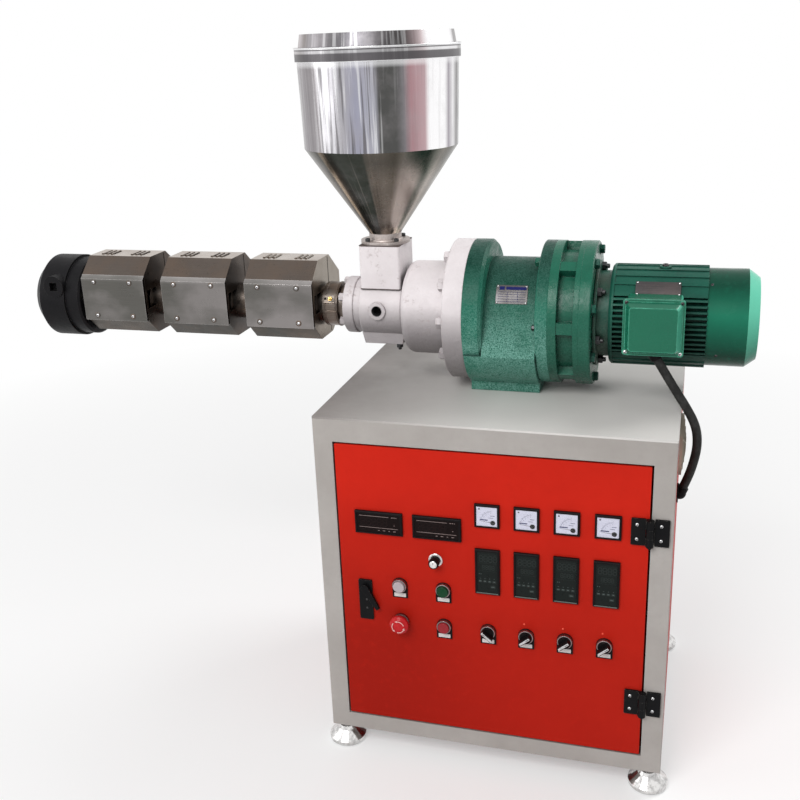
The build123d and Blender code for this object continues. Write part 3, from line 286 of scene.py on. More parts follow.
@dataclass(frozen=True)
class Enamel:
    """Machine paint with uneven tone, orange-peel grain, patchy grime with painted shade in corners and worn edges;
    where asked, painted shade on tops, undersides and toward the foot, and painted highlights on edges, sloped ends
    and one side.
    """

    name: str
    colour: Colour
    shade: Colour
    gloss: float = 0.38
    peel: float = 260.0
    depth: float = 0.00012
    blotch: float = 7.0
    # Share of the darkening in corners: patchy grime together with painted shade.
    grime_and_shade: float = 0.5
    wear: float = 0.3
    # Colour of the coat under the paint, shown at worn chips; also the colour of the painted highlights and of the
    # painted side light.
    under: Colour = (0.42, 0.40, 0.38)
    # Colour of that grime and painted shade in corners.
    dirt_and_shade: Colour = (0.05, 0.045, 0.04)
    shine: float = 0.12
    # Shares of painted shade on faces that look up and on faces that look down.
    crown: float = 0.0
    belly: float = 0.0
    # Share of painted shade toward the foot, deepest in the middle across, and the heights in metres where it starts
    # and is full.
    low_shade: float = 0.0
    low_shade_z: tuple[float, float] = (0.62, 0.28)
    # Shares of painted highlight on edges and on sloped faces that look to the right, more on their upper side.
    edge_highlight: float = 0.0
    end_highlight: float = 0.0
    # Share of painted light that rises along X between two places in metres.
    side_light: float = 0.0
    side_light_x: tuple[float, float] = (-0.08, 0.30)

    def make(self) -> bpy.types.Material:
        """Build the material; the low share paints shade toward the foot, the side share paints light toward one side,
        and the bright shares paint highlights on edges and on sloped ends.
        """
        r = Recipe(self.name, self.colour, self.gloss, specular=self.shine)
        cloud = r.band(r.noise(self.blotch, 6, 0.62), 0.32, 0.7)
        tone = r.blend(cloud, self.colour, self.shade)
        # Painted shade on tops and undersides.
        tone = r.facing_shade(tone, scaled(self.shade, 0.3), self.crown, self.belly)
        # Painted shade toward the foot, strongest in the middle across.
        if self.low_shade:
            middle = r.band(r.sum("ABSOLUTE", r.part("X")), 0.36, 0.12)
            low = r.times(r.band(r.part("Z"), *self.low_shade_z, 0, self.low_shade), r.band(middle, 0, 1, 0.55, 1))
            tone = r.blend(low, tone, scaled(self.shade, 0.5))
        fine = r.band(r.noise(self.blotch * 14, 5, 0.7), 0.52, 0.72, 0, 0.35)
        tone = r.blend(fine, tone, self.shade)
        # Painted light toward one side, in the under colour.
        if self.side_light:
            tone = r.blend(r.band(r.part("X"), *self.side_light_x, 0, self.side_light), tone, self.under)
        # Painted highlight on sloped faces that look to the right.
        if self.end_highlight:
            above = r.band(r.facing("Z"), -0.75, 0.3, 0.1, self.end_highlight)
            slope = r.times(r.band(r.facing("X"), 0.3, 0.5), r.band(r.facing("X"), 0.97, 0.92))
            tone = r.blend(r.times(slope, above), tone, self.under)
        # Patchy darkening in corners by ambient occlusion: grime and painted shade.
        if self.grime_and_shade:
            corner = r.times(r.hollow(0.012), r.band(r.noise(90, 4), 0.35, 0.62, 0.25, self.grime_and_shade))
            tone = r.blend(corner, tone, self.dirt_and_shade)
        # Painted highlight along edges, patchy.
        if self.edge_highlight:
            lit = r.band(r.noise(30, 3), 0.35, 0.6, 0.3 * self.edge_highlight, self.edge_highlight)
            tone = r.blend(r.times(r.edge(0.003), lit), tone, self.under)
        if self.wear:
            chip = r.band(r.noise(420, 4, 0.75), 0.56 - 0.12 * self.wear, 0.62 - 0.1 * self.wear)
            worn = r.times(r.edge(0.0012), chip)
            tone = r.blend(worn, tone, self.under)
        peel = r.sum("ADD", r.noise(self.peel, 3, 0.6), r.times(r.noise(self.peel * 0.12, 2), 1.5))
        rough = r.band(r.noise(34, 5, 0.6), 0.3, 0.75, self.gloss - 0.06, self.gloss + 0.14)
        return r.finish(tone, rough, r.grain(peel, self.depth, 0.0009))


@dataclass(frozen=True)
class CastPaint:
    """Thick paint on a rough casting, with a stippled face, pale rubbed patches and, where asked, painted shade."""

    name: str
    colour: Colour
    shade: Colour
    rub: Colour
    rubbed: float = 0.0
    gloss: float = 0.32
    pits: float = 170.0
    depth: float = 0.0005
    # Share of the darkening in corners: patchy grime together with painted shade.
    grime_and_shade: float = 0.55
    shine: float = 0.15
    # Shares of painted shade on faces that look up and on faces that look down.
    crown: float = 0.0
    belly: float = 0.0
    bruise: float = 0.0
    # Share of painted shade toward the foot, and the heights in metres where it starts and is full.
    foot: float = 0.0
    foot_z: tuple[float, float] = (0.925, 0.865)
    # Share of painted shade over the upper body between the flanges, with its span in X and its heights in metres.
    waist: float = 0.0
    waist_x: tuple[float, float] = (0.2645, 0.3675)
    waist_z: tuple[float, float] = (0.88, 0.95)
    rubbed_z: tuple[float, float] = (0.95, 0.86)
    bruised: Colour = (0.34, 0.27, 0.26)

    def make(self) -> bpy.types.Material:
        """Build the material; waist, foot, crown and belly are shares of painted shade in those places."""
        r = Recipe(self.name, self.colour, self.gloss, specular=self.shine)
        cloud = r.band(r.noise(9, 6, 0.6), 0.35, 0.68)
        tone = r.blend(cloud, self.colour, self.shade)
        dark = scaled(self.shade, 0.35)
        # Painted shade on tops and undersides.
        tone = r.facing_shade(tone, dark, self.crown, self.belly)
        # Painted shade over the waist between the flanges.
        if self.waist:
            start, end = self.waist_x
            along = r.times(r.band(r.part("X"), start, start + 0.004), r.band(r.part("X"), end, end - 0.004))
            above = r.band(r.part("Z"), *self.waist_z, 0.3 * self.waist, self.waist)
            tone = r.blend(r.times(along, above), tone, dark)
        # Painted shade toward the foot.
        if self.foot:
            tone = r.blend(r.band(r.part("Z"), *self.foot_z, 0, self.foot), tone, dark)
        if self.bruise:
            scuff = r.band(r.noise(120, 5, 0.75), 0.5, 0.66, 0, self.bruise)
            rim = r.times(r.edge(0.004), scuff)
            spot = r.times(r.band(r.noise(17, 5, 0.7), 0.56, 0.7), scuff)
            tone = r.blend(r.sum("MAXIMUM", rim, spot), tone, self.bruised)
        patch = r.band(r.noise(16, 6, 0.7), 0.26, 0.5)
        sponge = r.band(r.noise(420, 4, 0.8), 0.40, 0.56)
        low = r.band(r.part("Z"), *self.rubbed_z, 0.2, 1.0)
        rubbed = r.times(r.times(patch, sponge), r.times(low, self.rubbed))
        tone = r.blend(rubbed, tone, self.rub)
        # Patchy darkening in corners by ambient occlusion: grime and painted shade.
        corner = r.times(r.hollow(0.014), r.band(r.noise(70, 4), 0.3, 0.62, 0.3, self.grime_and_shade))
        tone = r.blend(corner, tone, scaled(self.shade, 0.18))
        height = r.sum("ADD", r.noise(self.pits, 4, 0.62), r.times(r.noise(self.pits * 0.16, 3), 2.0))
        rough = r.band(r.noise(60, 5, 0.65), 0.3, 0.7, self.gloss - 0.08, self.gloss + 0.18)
        return r.finish(tone, rough, r.grain(height, self.depth, 0.0015))


@dataclass(frozen=True)
class Brushed:
    """Stainless or bare steel with fine lines along one axis, stains and a touch of heat colour."""

    name: str
    colour: Colour
    shade: Colour
    heat: Colour
    heated: float = 0.0
    along: tuple[float, float, float] = BRUSH
    gloss: float = 0.28
    depth: float = 0.00002

    def make(self) -> bpy.types.Material:
        """Build the material."""
        r = Recipe(self.name, self.colour, self.gloss, metallic=1.0)
        lines = r.noise(6, 5, 0.7, r.stretched(self.along))
        tone = r.blend(r.band(lines, 0.3, 0.72), self.colour, self.shade)
        tone = r.blend(r.band(r.noise(8, 5, 0.6), 0.4, 0.7, 0, 0.6), tone, self.shade)
        if self.heated:
            tone = r.blend(r.band(r.noise(11, 5, 0.65), 0.42, 0.66, 0, self.heated), tone, self.heat)
        smear = r.band(r.noise(19, 6, 0.7), 0.35, 0.7, self.gloss - 0.06, self.gloss + 0.16)
        rough = r.sum("ADD", smear, r.band(lines, 0.3, 0.7, -0.04, 0.06))
        return r.finish(tone, rough, r.grain(lines, self.depth, 0.0006))


@dataclass(frozen=True)
class CoverSheet:
    """Folded stainless sheet with painted light: warm and bright on top and brown on the upper leaf as painted
    reflections, dark below and at the inner ends as painted shade, beige on the last end as a painted reflection.
    """

    name: str = "cover_sheet"
    # Colours by facing: top and upper are painted reflections, lower is painted shade, end is a painted reflection on
    # the last cover's end and inner_end painted shade on the other ends.
    top: Colour = (0.52, 0.46, 0.41)
    upper: Colour = (0.105, 0.086, 0.076)
    lower: Colour = (0.020, 0.021, 0.018)
    end: Colour = (0.26, 0.225, 0.185)
    inner_end: Colour = (0.052, 0.043, 0.038)
    heat: Colour = (0.16, 0.105, 0.07)
    length: float = 0.15

    def make(self) -> bpy.types.Material:
        """Build the material."""
        r = Recipe(self.name, self.upper, 0.3, metallic=1.0)
        # Painted light by facing: dark below, brown on the upper leaf, bright on top.
        up = r.facing("Z")
        tone = r.blend(r.band(up, -0.35, 0.2), self.lower, self.upper)
        tone = r.blend(r.band(up, 0.8, 0.97), tone, self.top)
        brushed = r.noise(6, 5, 0.7, r.stretched(BRUSH))
        tone = r.blend(r.band(brushed, 0.3, 0.72, 0, 0.16), tone, self.end)
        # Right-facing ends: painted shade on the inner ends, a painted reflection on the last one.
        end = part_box("heater_covers")[1].x - self.length
        last = r.band(r.part("X"), end - 0.01, end)
        side = r.blend(last, self.inner_end, self.end)
        tone = r.blend(r.band(r.facing("X"), 0.5, 0.8), tone, side)
        stain = r.band(r.noise(9, 6, 0.65), 0.42, 0.7, 0, 0.4)
        tone = r.blend(stain, tone, self.heat)
        spots = r.band(r.noise(160, 4, 0.7), 0.6, 0.72, 0, 0.5)
        tone = r.blend(spots, tone, self.inner_end)
        rough = r.band(r.noise(19, 6, 0.7), 0.35, 0.7, 0.24, 0.42)
        return r.finish(tone, rough, r.grain(brushed, 0.00003, 0.0008))


@dataclass(frozen=True)
class PlateSheet:
    """Dull front plates of the covers: paler toward the feed end, with soft blotches, a painted highlight along the
    upper edge and on all edges.
    """

    name: str = "cover_plate_sheet"
    dark: Colour = (0.10, 0.098, 0.088)
    pale: Colour = (0.27, 0.25, 0.245)
    # Colour of the painted highlight on the upper edge and the edges.
    bright: Colour = (0.60, 0.57, 0.56)
    gloss: float = 0.3
    upper_z: tuple[float, float] = (0.950, 0.978)

    def make(self) -> bpy.types.Material:
        """Build the material."""
        r = Recipe(self.name, self.dark, self.gloss, metallic=1.0)
        low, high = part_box("cover_plates")
        along = r.band(r.part("X"), low.x, high.x, -0.05, 0.55)
        cloud = r.band(r.noise(9, 4, 0.5, r.stretched((1.0, 1.0, 1.5))), 0.38, 0.64, -0.30, 0.45)
        tone = r.blend(r.sum("ADD", along, cloud), self.dark, self.pale)
        # Painted highlight along the upper edge, patchy.
        upper = r.times(r.band(r.part("Z"), *self.upper_z), r.band(r.noise(5, 3), 0.35, 0.6, 0.15, 0.75))
        tone = r.blend(upper, tone, self.bright)
        lines = r.noise(6, 5, 0.7, r.stretched(BRUSH))
        tone = r.blend(r.band(lines, 0.3, 0.72, 0, 0.25), tone, self.pale)
        # Painted highlight on all edges.
        tone = r.blend(r.times(r.edge(0.0015), 0.5), tone, self.bright)
        smear = r.band(r.noise(19, 6, 0.7), 0.35, 0.7, self.gloss - 0.06, self.gloss + 0.16)
        return r.finish(tone, smear, r.grain(lines, 0.00002, 0.0006))


@dataclass(frozen=True)
class Spun:
    """Polished stainless turned about the hopper's axis, with painted reflections: upright streaks of light and dark,
    and bands at given heights.
    """

    name: str
    # Ramp of colours round the axis: painted reflections of the surroundings.
    streaks: tuple[tuple[float, Colour], ...]
    # Colours of the painted dark and bright reflections.
    shade: Colour = (0.10, 0.095, 0.10)
    gleam: Colour = (0.95, 0.95, 0.96)
    gloss: float = 0.16
    fine: float = 0.35
    lined: tuple[float, float] = (0.162, 0.30)
    rings: tuple[tuple[float, float, float], ...] = ()
    shoulder: tuple[float, float] = (0.0, 0.0)
    shaded: float = 0.0
    cloudy: Colour = (0.40, 0.37, 0.38)

    def make(self) -> bpy.types.Material:
        """Build the material; rings are heights with their shares of dark and bright painted reflection, shoulder a
        span of painted shade.
        """
        r = Recipe(self.name, self.shade, self.gloss, metallic=1.0)
        low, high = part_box("hopper_shell")
        centre = (low + high) / 2
        turn = r.bearing(centre.x, centre.y)
        around = r.node("ShaderNodeCombineXYZ", {"X": r.times(turn, 60.0), "Y": r.times(r.part("Z"), 1.6)}).outputs[0]
        wobble = r.band(r.noise(0.5, 3, 0.5, around), 0.3, 0.7, -0.003, 0.003)
        # Upright streaks round the axis: painted reflections.
        tone = r.ramp(r.sum("ADD", turn, wobble), self.streaks)
        lines = r.noise(1.9, 3, 0.55, around)
        start, end = self.lined
        where = r.times(r.band(turn, start - 0.012, start + 0.012, 0.22, 1.0),
                        r.band(turn, end + 0.004, end - 0.004, 0.12, 1.0))
        # Fine dark and bright painted reflection lines in the lined span.
        tone = r.blend(r.times(r.band(lines, 0.53, 0.60, 0, self.fine), where), tone, self.shade)
        tone = r.blend(r.times(r.band(lines, 0.45, 0.39, 0, self.fine * 0.6), where), tone, self.gleam)
        cloud = r.band(r.noise(16, 5, 0.65), 0.45, 0.7, 0, 0.22)
        tone = r.blend(cloud, tone, self.cloudy)
        # Painted shade over the shoulder span.
        if self.shaded:
            tone = r.blend(r.band(r.part("Z"), *self.shoulder, 0, self.shaded), tone, self.shade)
        # Dark and bright painted reflection bands at the ring heights.
        if self.rings:
            first, last = self.rings[0][0], self.rings[-1][0]
            level = r.band(r.part("Z"), first, last)
            for index, colour in ((1, self.shade), (2, self.gleam)):
                stops = [((ring[0] - first) / (last - first), (ring[index],) * 3) for ring in self.rings]
                tone = r.blend(r.ramp(level, stops), tone, colour)
        scratch = r.noise(7, 5, 0.75, r.stretched((240.0, 240.0, 5.0)))
        rough = r.sum("ADD", r.band(r.noise(14, 5, 0.7), 0.35, 0.7, self.gloss - 0.04, self.gloss + 0.12),
                      r.band(scratch, 0.3, 0.7, -0.02, 0.04))
        waves = r.sum("ADD", r.noise(11, 3, 0.5, r.stretched((1.0, 1.0, 0.35))), r.times(scratch, 0.02))
        return r.finish(tone, rough, r.grain(waves, 0.0015, 0.0006))


@dataclass(frozen=True)
class Moulded:
    """Plastic or rubber with a fine moulded grain, faint dust and finger marks."""

    name: str
    colour: Colour
    gloss: float = 0.42
    grain: float = 1400.0
    depth: float = 0.00004
    dust: float = 0.12
    coat: float = 0.0
    shine: float = 0.08
    pale_edge: float = 0.08

    def make(self) -> bpy.types.Material:
        """Build the material."""
        r = Recipe(self.name, self.colour, self.gloss, coat=self.coat, specular=self.shine)
        grey = tuple(0.8 * c + 0.06 for c in self.colour)
        tone = r.blend(r.band(r.noise(55, 5, 0.7), 0.45, 0.75, 0, self.dust), self.colour, grey)
        pale = tuple(0.7 * c + 0.2 for c in self.colour)
        tone = r.blend(r.times(r.edge(0.0007), self.pale_edge), tone, pale)
        rough = r.band(r.noise(120, 4, 0.6), 0.3, 0.7, self.gloss - 0.07, self.gloss + 0.1)
        return r.finish(tone, rough, r.grain(r.noise(self.grain, 3), self.depth, 0.0005))


@dataclass(frozen=True)
class Plated:
    """Chrome, zinc or brass with small smudges and painted shade in corners."""

    name: str
    colour: Colour = (0.78, 0.78, 0.79)
    shade: Colour = (0.35, 0.35, 0.36)
    gloss: float = 0.12
    stain: float = 0.5

    def make(self) -> bpy.types.Material:
        """Build the material."""
        r = Recipe(self.name, self.colour, self.gloss, metallic=1.0)
        cloud = r.band(r.noise(75, 5, 0.65), 0.42, 0.72, 0, self.stain)
        # Painted shade in corners by ambient occlusion, together with the smudges.
        corner = r.sum("MAXIMUM", cloud, r.times(r.hollow(0.006), 0.8))
        tone = r.blend(corner, self.colour, self.shade)
        rough = r.band(r.noise(140, 4, 0.6), 0.3, 0.7, self.gloss, self.gloss + 0.16)
        return r.finish(tone, rough, r.grain(r.noise(230, 3), 0.00004, 0.0005))


@dataclass(frozen=True)
class Pane:
    """Thin clear cover over a dial or a display."""

    name: str = "clear_pane"
    tint: Colour = (0.9, 0.92, 0.93)
    alpha: float = 0.04

    def make(self) -> bpy.types.Material:
        """Build the material."""
        r = Recipe(self.name, self.tint, 0.06)
        r.skin.inputs["Alpha"].default_value = self.alpha
        r.skin.inputs["IOR"].default_value = 1.45
        rough = r.band(r.noise(80, 4), 0.3, 0.7, 0.04, 0.12)
        return r.finish(None, rough)


class Finishes:
    """Every finish of the machine, made once."""

    crown_height: float = 0.026

    def __init__(self) -> None:
        """Build all the materials."""
        self.paints()
        self.metals()
        self.polished()
        self.plastics()

    def paints(self) -> None:
        """Enamels of the cabinet and paints of the castings."""
        # Shares set below for tops, undersides, the foot, the waist and the lower door are painted shade; those for
        # the top plate's side and the green edges and ends are painted light; every corner share is grime with painted
        # shade.
        self.grey = Enamel("cabinet_grey", (0.41, 0.385, 0.365), (0.345, 0.32, 0.30), 0.42, wear=0.25).make()
        # Door red, painted darker toward its foot: painted shade.
        self.red = Enamel("door_orange_red", (0.56, 0.018, 0.008), (0.48, 0.015, 0.007), 0.4, blotch=4.0, grime_and_shade=0.3,
                          wear=0.1, under=(0.5, 0.10, 0.07), dirt_and_shade=(0.09, 0.008, 0.005), shine=0.05,
                          low_shade=0.7).make()
        self.black_enamel = Enamel("black_fitting", (0.004, 0.004, 0.005), (0.008, 0.008, 0.008), 0.34, wear=0.4,
                                   grime_and_shade=0.2, dirt_and_shade=(0.003, 0.003, 0.003), under=(0.12, 0.11, 0.10),
                                   shine=0.08).make()
        # White castings, painted darker on undersides and toward the foot: painted shade.
        self.white = CastPaint("white_cast_paint", (0.74, 0.69, 0.70), (0.62, 0.57, 0.58), (0.82, 0.78, 0.79),
                               gloss=0.34, pits=130, depth=0.0014, grime_and_shade=0.8, shine=0.2, belly=0.7,
                               bruise=0.9, foot=0.7).make()
        # Top plate, painted paler toward its right side: painted light.
        self.top_grey = Enamel("top_plate_grey", (0.23, 0.205, 0.195), (0.20, 0.178, 0.168), 0.42, wear=0.1,
                               under=(0.72, 0.70, 0.675), side_light=0.85).make()
        self.white_block = CastPaint("white_block_paint", (0.76, 0.71, 0.72), (0.66, 0.61, 0.62),
                                     (0.82, 0.78, 0.79), gloss=0.34, pits=150, depth=0.0012, grime_and_shade=0.8, shine=0.2,
                                     bruise=0.9).make()
        # Ring and end flange green, with painted shade on undersides.
        self.green = CastPaint("green_cast_paint", (0.007, 0.122, 0.072), (0.005, 0.085, 0.050),
                               (0.13, 0.34, 0.26), 0.2, 0.22, 170, 0.0005, 0.8, shine=0.22, belly=0.5).make()
        # Casing green, painted darker on its top and over the waist between the flanges: painted shade.
        self.green_foot = CastPaint("green_casing_paint", (0.010, 0.145, 0.088), (0.007, 0.095, 0.060),
                                    (0.15, 0.34, 0.28), 1.0, 0.26, 150, 0.0008, 0.8, shine=0.07, crown=1.0,
                                    waist=0.6).make()
        # Motor green, painted darker on undersides and toward the foot: painted shade.
        self.green_dark = CastPaint("green_motor_paint", (0.012, 0.106, 0.070), (0.007, 0.062, 0.043),
                                    (0.10, 0.24, 0.19), 0.2, 0.3, 150, 0.0005, 0.95, shine=0.12, belly=0.85,
                                    foot=0.55).make()
        # Adaptor casting, grimy, with painted shade on undersides.
        self.grimy = CastPaint("grimy_casting", (0.014, 0.120, 0.082), (0.050, 0.050, 0.036), (0.16, 0.22, 0.18),
                               0.5, 0.3, 120, 0.0009, 0.9, shine=0.2, belly=0.7).make()
        # Terminal box green, with painted highlights on edges and sloped right faces, and painted shade on tops and
        # undersides.
        self.green_sheet = Enamel("green_sheet_paint", (0.008, 0.150, 0.082), (0.006, 0.118, 0.066), 0.22,
                                  wear=0.4, grime_and_shade=0.7, under=(0.12, 0.54, 0.37), dirt_and_shade=(0.003, 0.018, 0.012),
                                  shine=0.3, crown=0.15, belly=0.3, edge_highlight=0.7, end_highlight=0.8).make()
        # Cowl green, with a painted highlight on its sloped end, and painted shade on top and below.
        self.cowl = Enamel("green_cowl_paint", (0.014, 0.180, 0.105), (0.010, 0.142, 0.084), 0.2, wear=0.3,
                           grime_and_shade=0.6, under=(0.17, 0.68, 0.48), dirt_and_shade=(0.003, 0.018, 0.012), shine=0.1,
                           crown=0.9, belly=1.0, end_highlight=0.9).make()
        self.die = Enamel("black_heatproof", (0.005, 0.005, 0.006), (0.010, 0.009, 0.010), 0.42, depth=0.0005,
                          peel=140, wear=0.5, grime_and_shade=0.3, under=(0.06, 0.055, 0.05), dirt_and_shade=(0.004, 0.004, 0.004),
                          shine=0.1).make()

    def metals(self) -> None:
        """Bare, brushed and plated metals."""
        self.covers = CoverSheet().make()
        self.plates = PlateSheet().make()
        self.steel = Brushed("bare_steel", (0.20, 0.18, 0.165), (0.05, 0.042, 0.036), (0.14, 0.09, 0.06), 0.6,
                             along=(200.0, 6.0, 6.0)).make()
        self.bands = Brushed("band_steel", (0.30, 0.27, 0.245), (0.07, 0.058, 0.05), (0.12, 0.075, 0.05), 0.8).make()
        self.flange = Brushed("flange_stainless", (0.66, 0.60, 0.58), (0.30, 0.26, 0.24), (0.62, 0.56, 0.53), 0.5,
                              along=(60.0, 60.0, 40.0), gloss=0.4).make()
        self.chrome = Plated("chrome", (0.80, 0.79, 0.78), (0.16, 0.15, 0.15), 0.08, 0.75).make()
        self.satin = Plated("satin_ring", (0.30, 0.25, 0.25), (0.14, 0.11, 0.11), 0.22).make()
        self.zinc = Plated("zinc_screw", (0.62, 0.62, 0.63), (0.22, 0.21, 0.20), 0.2).make()
        self.brass = Plated("brass", (0.66, 0.46, 0.17), (0.34, 0.21, 0.08), 0.2).make()
        self.label = Brushed("label_metal", (0.11, 0.106, 0.11), (0.05, 0.048, 0.05), (0.06, 0.055, 0.05), 0.6,
                             gloss=0.36, depth=0.00005).make()
        self.old_label = Brushed("old_label_metal", (0.10, 0.085, 0.09), (0.04, 0.045, 0.042), (0.13, 0.10, 0.10), 0.6,
                                 gloss=0.4, depth=0.00005).make()
        self.black_oxide = Plated("black_oxide", (0.07, 0.07, 0.072), (0.02, 0.02, 0.02), 0.34).make()

    def polished(self) -> None:
        """Spun stainless of the hopper, with painted reflections: the streaks that run round its axis and the bands
        near the rims.
        """
        grey, violet, pale = (0.42, 0.39, 0.40), (0.36, 0.33, 0.37), (0.90, 0.89, 0.90)
        dark, deep, rose = (0.16, 0.155, 0.155), (0.085, 0.085, 0.082), (0.40, 0.235, 0.255)
        blue, bright = (0.34, 0.34, 0.42), (0.99, 0.98, 0.99)
        shell = ((0.0, grey), (0.055, (0.20, 0.18, 0.195)), (0.10, (0.26, 0.24, 0.255)), (0.14, (0.30, 0.28, 0.29)),
                 (0.16, (0.34, 0.32, 0.33)), (0.172, (0.60, 0.59, 0.61)), (0.225, (0.42, 0.41, 0.44)), (0.25, blue),
                 (0.288, (0.42, 0.42, 0.47)), (0.297, deep), (0.328, deep), (0.347, (0.20, 0.19, 0.20)),
                 (0.359, rose), (0.388, (0.52, 0.37, 0.39)), (0.397, bright), (0.443, bright), (0.457, violet),
                 (0.475, pale), (0.495, dark), (0.62, pale), (0.72, grey), (0.80, dark), (0.90, pale))
        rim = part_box("hopper_lid")[1].z - self.crown_height
        skirt = ((rim - 0.30, 0.0, 0.0), (rim - 0.036, 0.0, 0.0), (rim - 0.029, 0.0, 0.45), (rim, 0.0, 0.6))
        self.hopper = Spun("hopper_stainless", shell, fine=0.78, rings=skirt).make()
        rings = ((rim - 0.024, 0.0, 0.85), (rim - 0.0234, 0.0, 0.6), (rim - 0.0226, 0.92, 0.0),
                 (rim - 0.010, 0.90, 0.0), (rim - 0.008, 0.15, 0.25), (rim - 0.0045, 0.15, 0.25),
                 (rim - 0.0035, 0.85, 0.0), (rim - 0.002, 0.85, 0.0), (rim - 0.001, 0.0, 0.9),
                 (rim + 0.001, 0.0, 0.9), (rim + 0.002, 0.3, 0.0), (rim + 0.004, 0.0, 0.0), (rim + 0.026, 0.0, 0.0))
        crown = ((0.0, grey), (0.07, (0.36, 0.32, 0.32)), (0.084, (0.52, 0.47, 0.48)), (0.10, (0.48, 0.44, 0.45)),
                 (0.12, (0.26, 0.23, 0.22)), (0.145, (0.46, 0.44, 0.46)), (0.175, (0.20, 0.19, 0.20)),
                 (0.205, (0.11, 0.105, 0.11)), (0.244, (0.12, 0.115, 0.125)), (0.28, (0.10, 0.097, 0.104)),
                 (0.317, (0.075, 0.07, 0.072)), (0.35, (0.07, 0.066, 0.066)), (0.37, (0.24, 0.19, 0.195)),
                 (0.385, (0.62, 0.52, 0.53)), (0.40, pale), (0.485, pale), (0.497, (0.30, 0.29, 0.29)), (0.62, grey),
                 (0.75, dark), (0.88, grey))
        self.lid = Spun("lid_stainless", crown, fine=0.35, lined=(0.13, 0.36), gloss=0.3, rings=rings).make()
        olive, brown, beige = (0.045, 0.050, 0.042), (0.25, 0.215, 0.18), (0.50, 0.45, 0.40)
        cone = ((0.0, brown), (0.10, (0.20, 0.175, 0.15)), (0.145, (0.12, 0.105, 0.09)), (0.153, (0.98, 0.84, 0.66)),
                (0.164, (0.75, 0.63, 0.50)), (0.172, (0.10, 0.09, 0.075)), (0.19, olive), (0.256, olive),
                (0.264, brown), (0.30, (0.34, 0.30, 0.26)), (0.325, brown), (0.345, beige), (0.39, beige),
                (0.415, (0.20, 0.22, 0.18)), (0.44, beige), (0.475, (0.20, 0.18, 0.15)), (0.62, beige),
                (0.74, olive), (0.88, beige))
        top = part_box("hopper_cone")[1].z
        # The cone is also painted darker over its shoulder: painted shade.
        self.cone = Spun("cone_stainless", cone, shade=(0.042, 0.046, 0.038), gleam=(0.5, 0.45, 0.4), fine=0.25,
                         gloss=0.22, shoulder=(top - 0.060, top - 0.02), shaded=0.6).make()

    def plastics(self) -> None:
        """Plastics, rubber, inks and the clear pane."""
        self.dark = Moulded("black_plastic", (0.006, 0.0045, 0.005), 0.36, dust=0.06, pale_edge=0.04).make()
        self.cream = Moulded("cream_plastic", (0.56, 0.50, 0.41), 0.45, dust=0.4).make()
        self.white_cap = Moulded("white_cap", (0.42, 0.37, 0.39), 0.25, coat=0.1).make()
        self.green_cap = Moulded("green_cap", (0.003, 0.045, 0.015), 0.25, coat=0.1).make()
        self.red_cap = Moulded("red_cap", (0.28, 0.020, 0.026), 0.25, coat=0.1).make()
        self.stop_cap = Moulded("stop_cap", (0.48, 0.014, 0.018), 0.25, coat=0.1).make()
        self.rubber = Moulded("cable_rubber", (0.018, 0.018, 0.017), 0.5, 900, 0.0001, 0.6, shine=0.15).make()
        self.face = Moulded("dial_white", (0.60, 0.60, 0.72), 0.4, dust=0.05).make()
        self.ink = Moulded("dial_ink", (0.004, 0.004, 0.005), 0.5, dust=0.0).make()
        self.faint_ink = Moulded("faint_ink", (0.16, 0.17, 0.26), 0.5, dust=0.0).make()
        self.blue_ink = Moulded("blue_ink", (0.012, 0.016, 0.11), 0.5, dust=0.0).make()
        self.pane = Pane().make()
        self.smoke = Moulded("smoked_window", (0.006, 0.0025, 0.0025), 0.3, dust=0.02, pale_edge=0.0).make()
        self.slate = Moulded("slate_window", (0.010, 0.013, 0.012), 0.3, dust=0.02, pale_edge=0.0).make()
        self.dim = Moulded("dim_segment", (0.024, 0.030, 0.028), 0.4, dust=0.0, pale_edge=0.0).make()
        self.unlit = Moulded("unlit_segment", (0.011, 0.005, 0.005), 0.4, dust=0.0, pale_edge=0.0).make()
        self.mark = Moulded("grey_mark", (0.085, 0.105, 0.10), 0.4, dust=0.1, pale_edge=0.0).make()
        self.pale_line = Moulded("pale_line", (0.26, 0.20, 0.19), 0.4, dust=0.0, pale_edge=0.0).make()
        self.dim_line = Moulded("dim_line", (0.12, 0.14, 0.13), 0.4, dust=0.0, pale_edge=0.0).make()
        self.strip = Moulded("label_strip", (0.60, 0.57, 0.56), 0.45, dust=0.3).make()
        self.pink = Moulded("pale_arrow", (0.72, 0.40, 0.38), 0.4, dust=0.0).make()
        self.lamp = Moulded("lamp_red", (0.80, 0.09, 0.05), 0.2, coat=0.3).make()
        self.ceramic = Moulded("ceramic", (0.60, 0.56, 0.50), 0.5, dust=0.4).make()
        self.gasket = Moulded("gasket", (0.09, 0.07, 0.065), 0.6, dust=0.5).make()
        # Painted shade: a black stand-in for the dark depth of sockets and holes; the cover seams use it for their
        # dark joint lines.
        self.hole = Moulded("hole_shade", (0.010, 0.009, 0.009), 0.6, dust=0.1).make()


def placed(name: str, data: bpy.types.ID) -> bpy.types.Object:
    """New object in the scene that shows some data."""
    made = bpy.data.objects.new(name, data)
    bpy.context.scene.collection.objects.link(made)
    return made


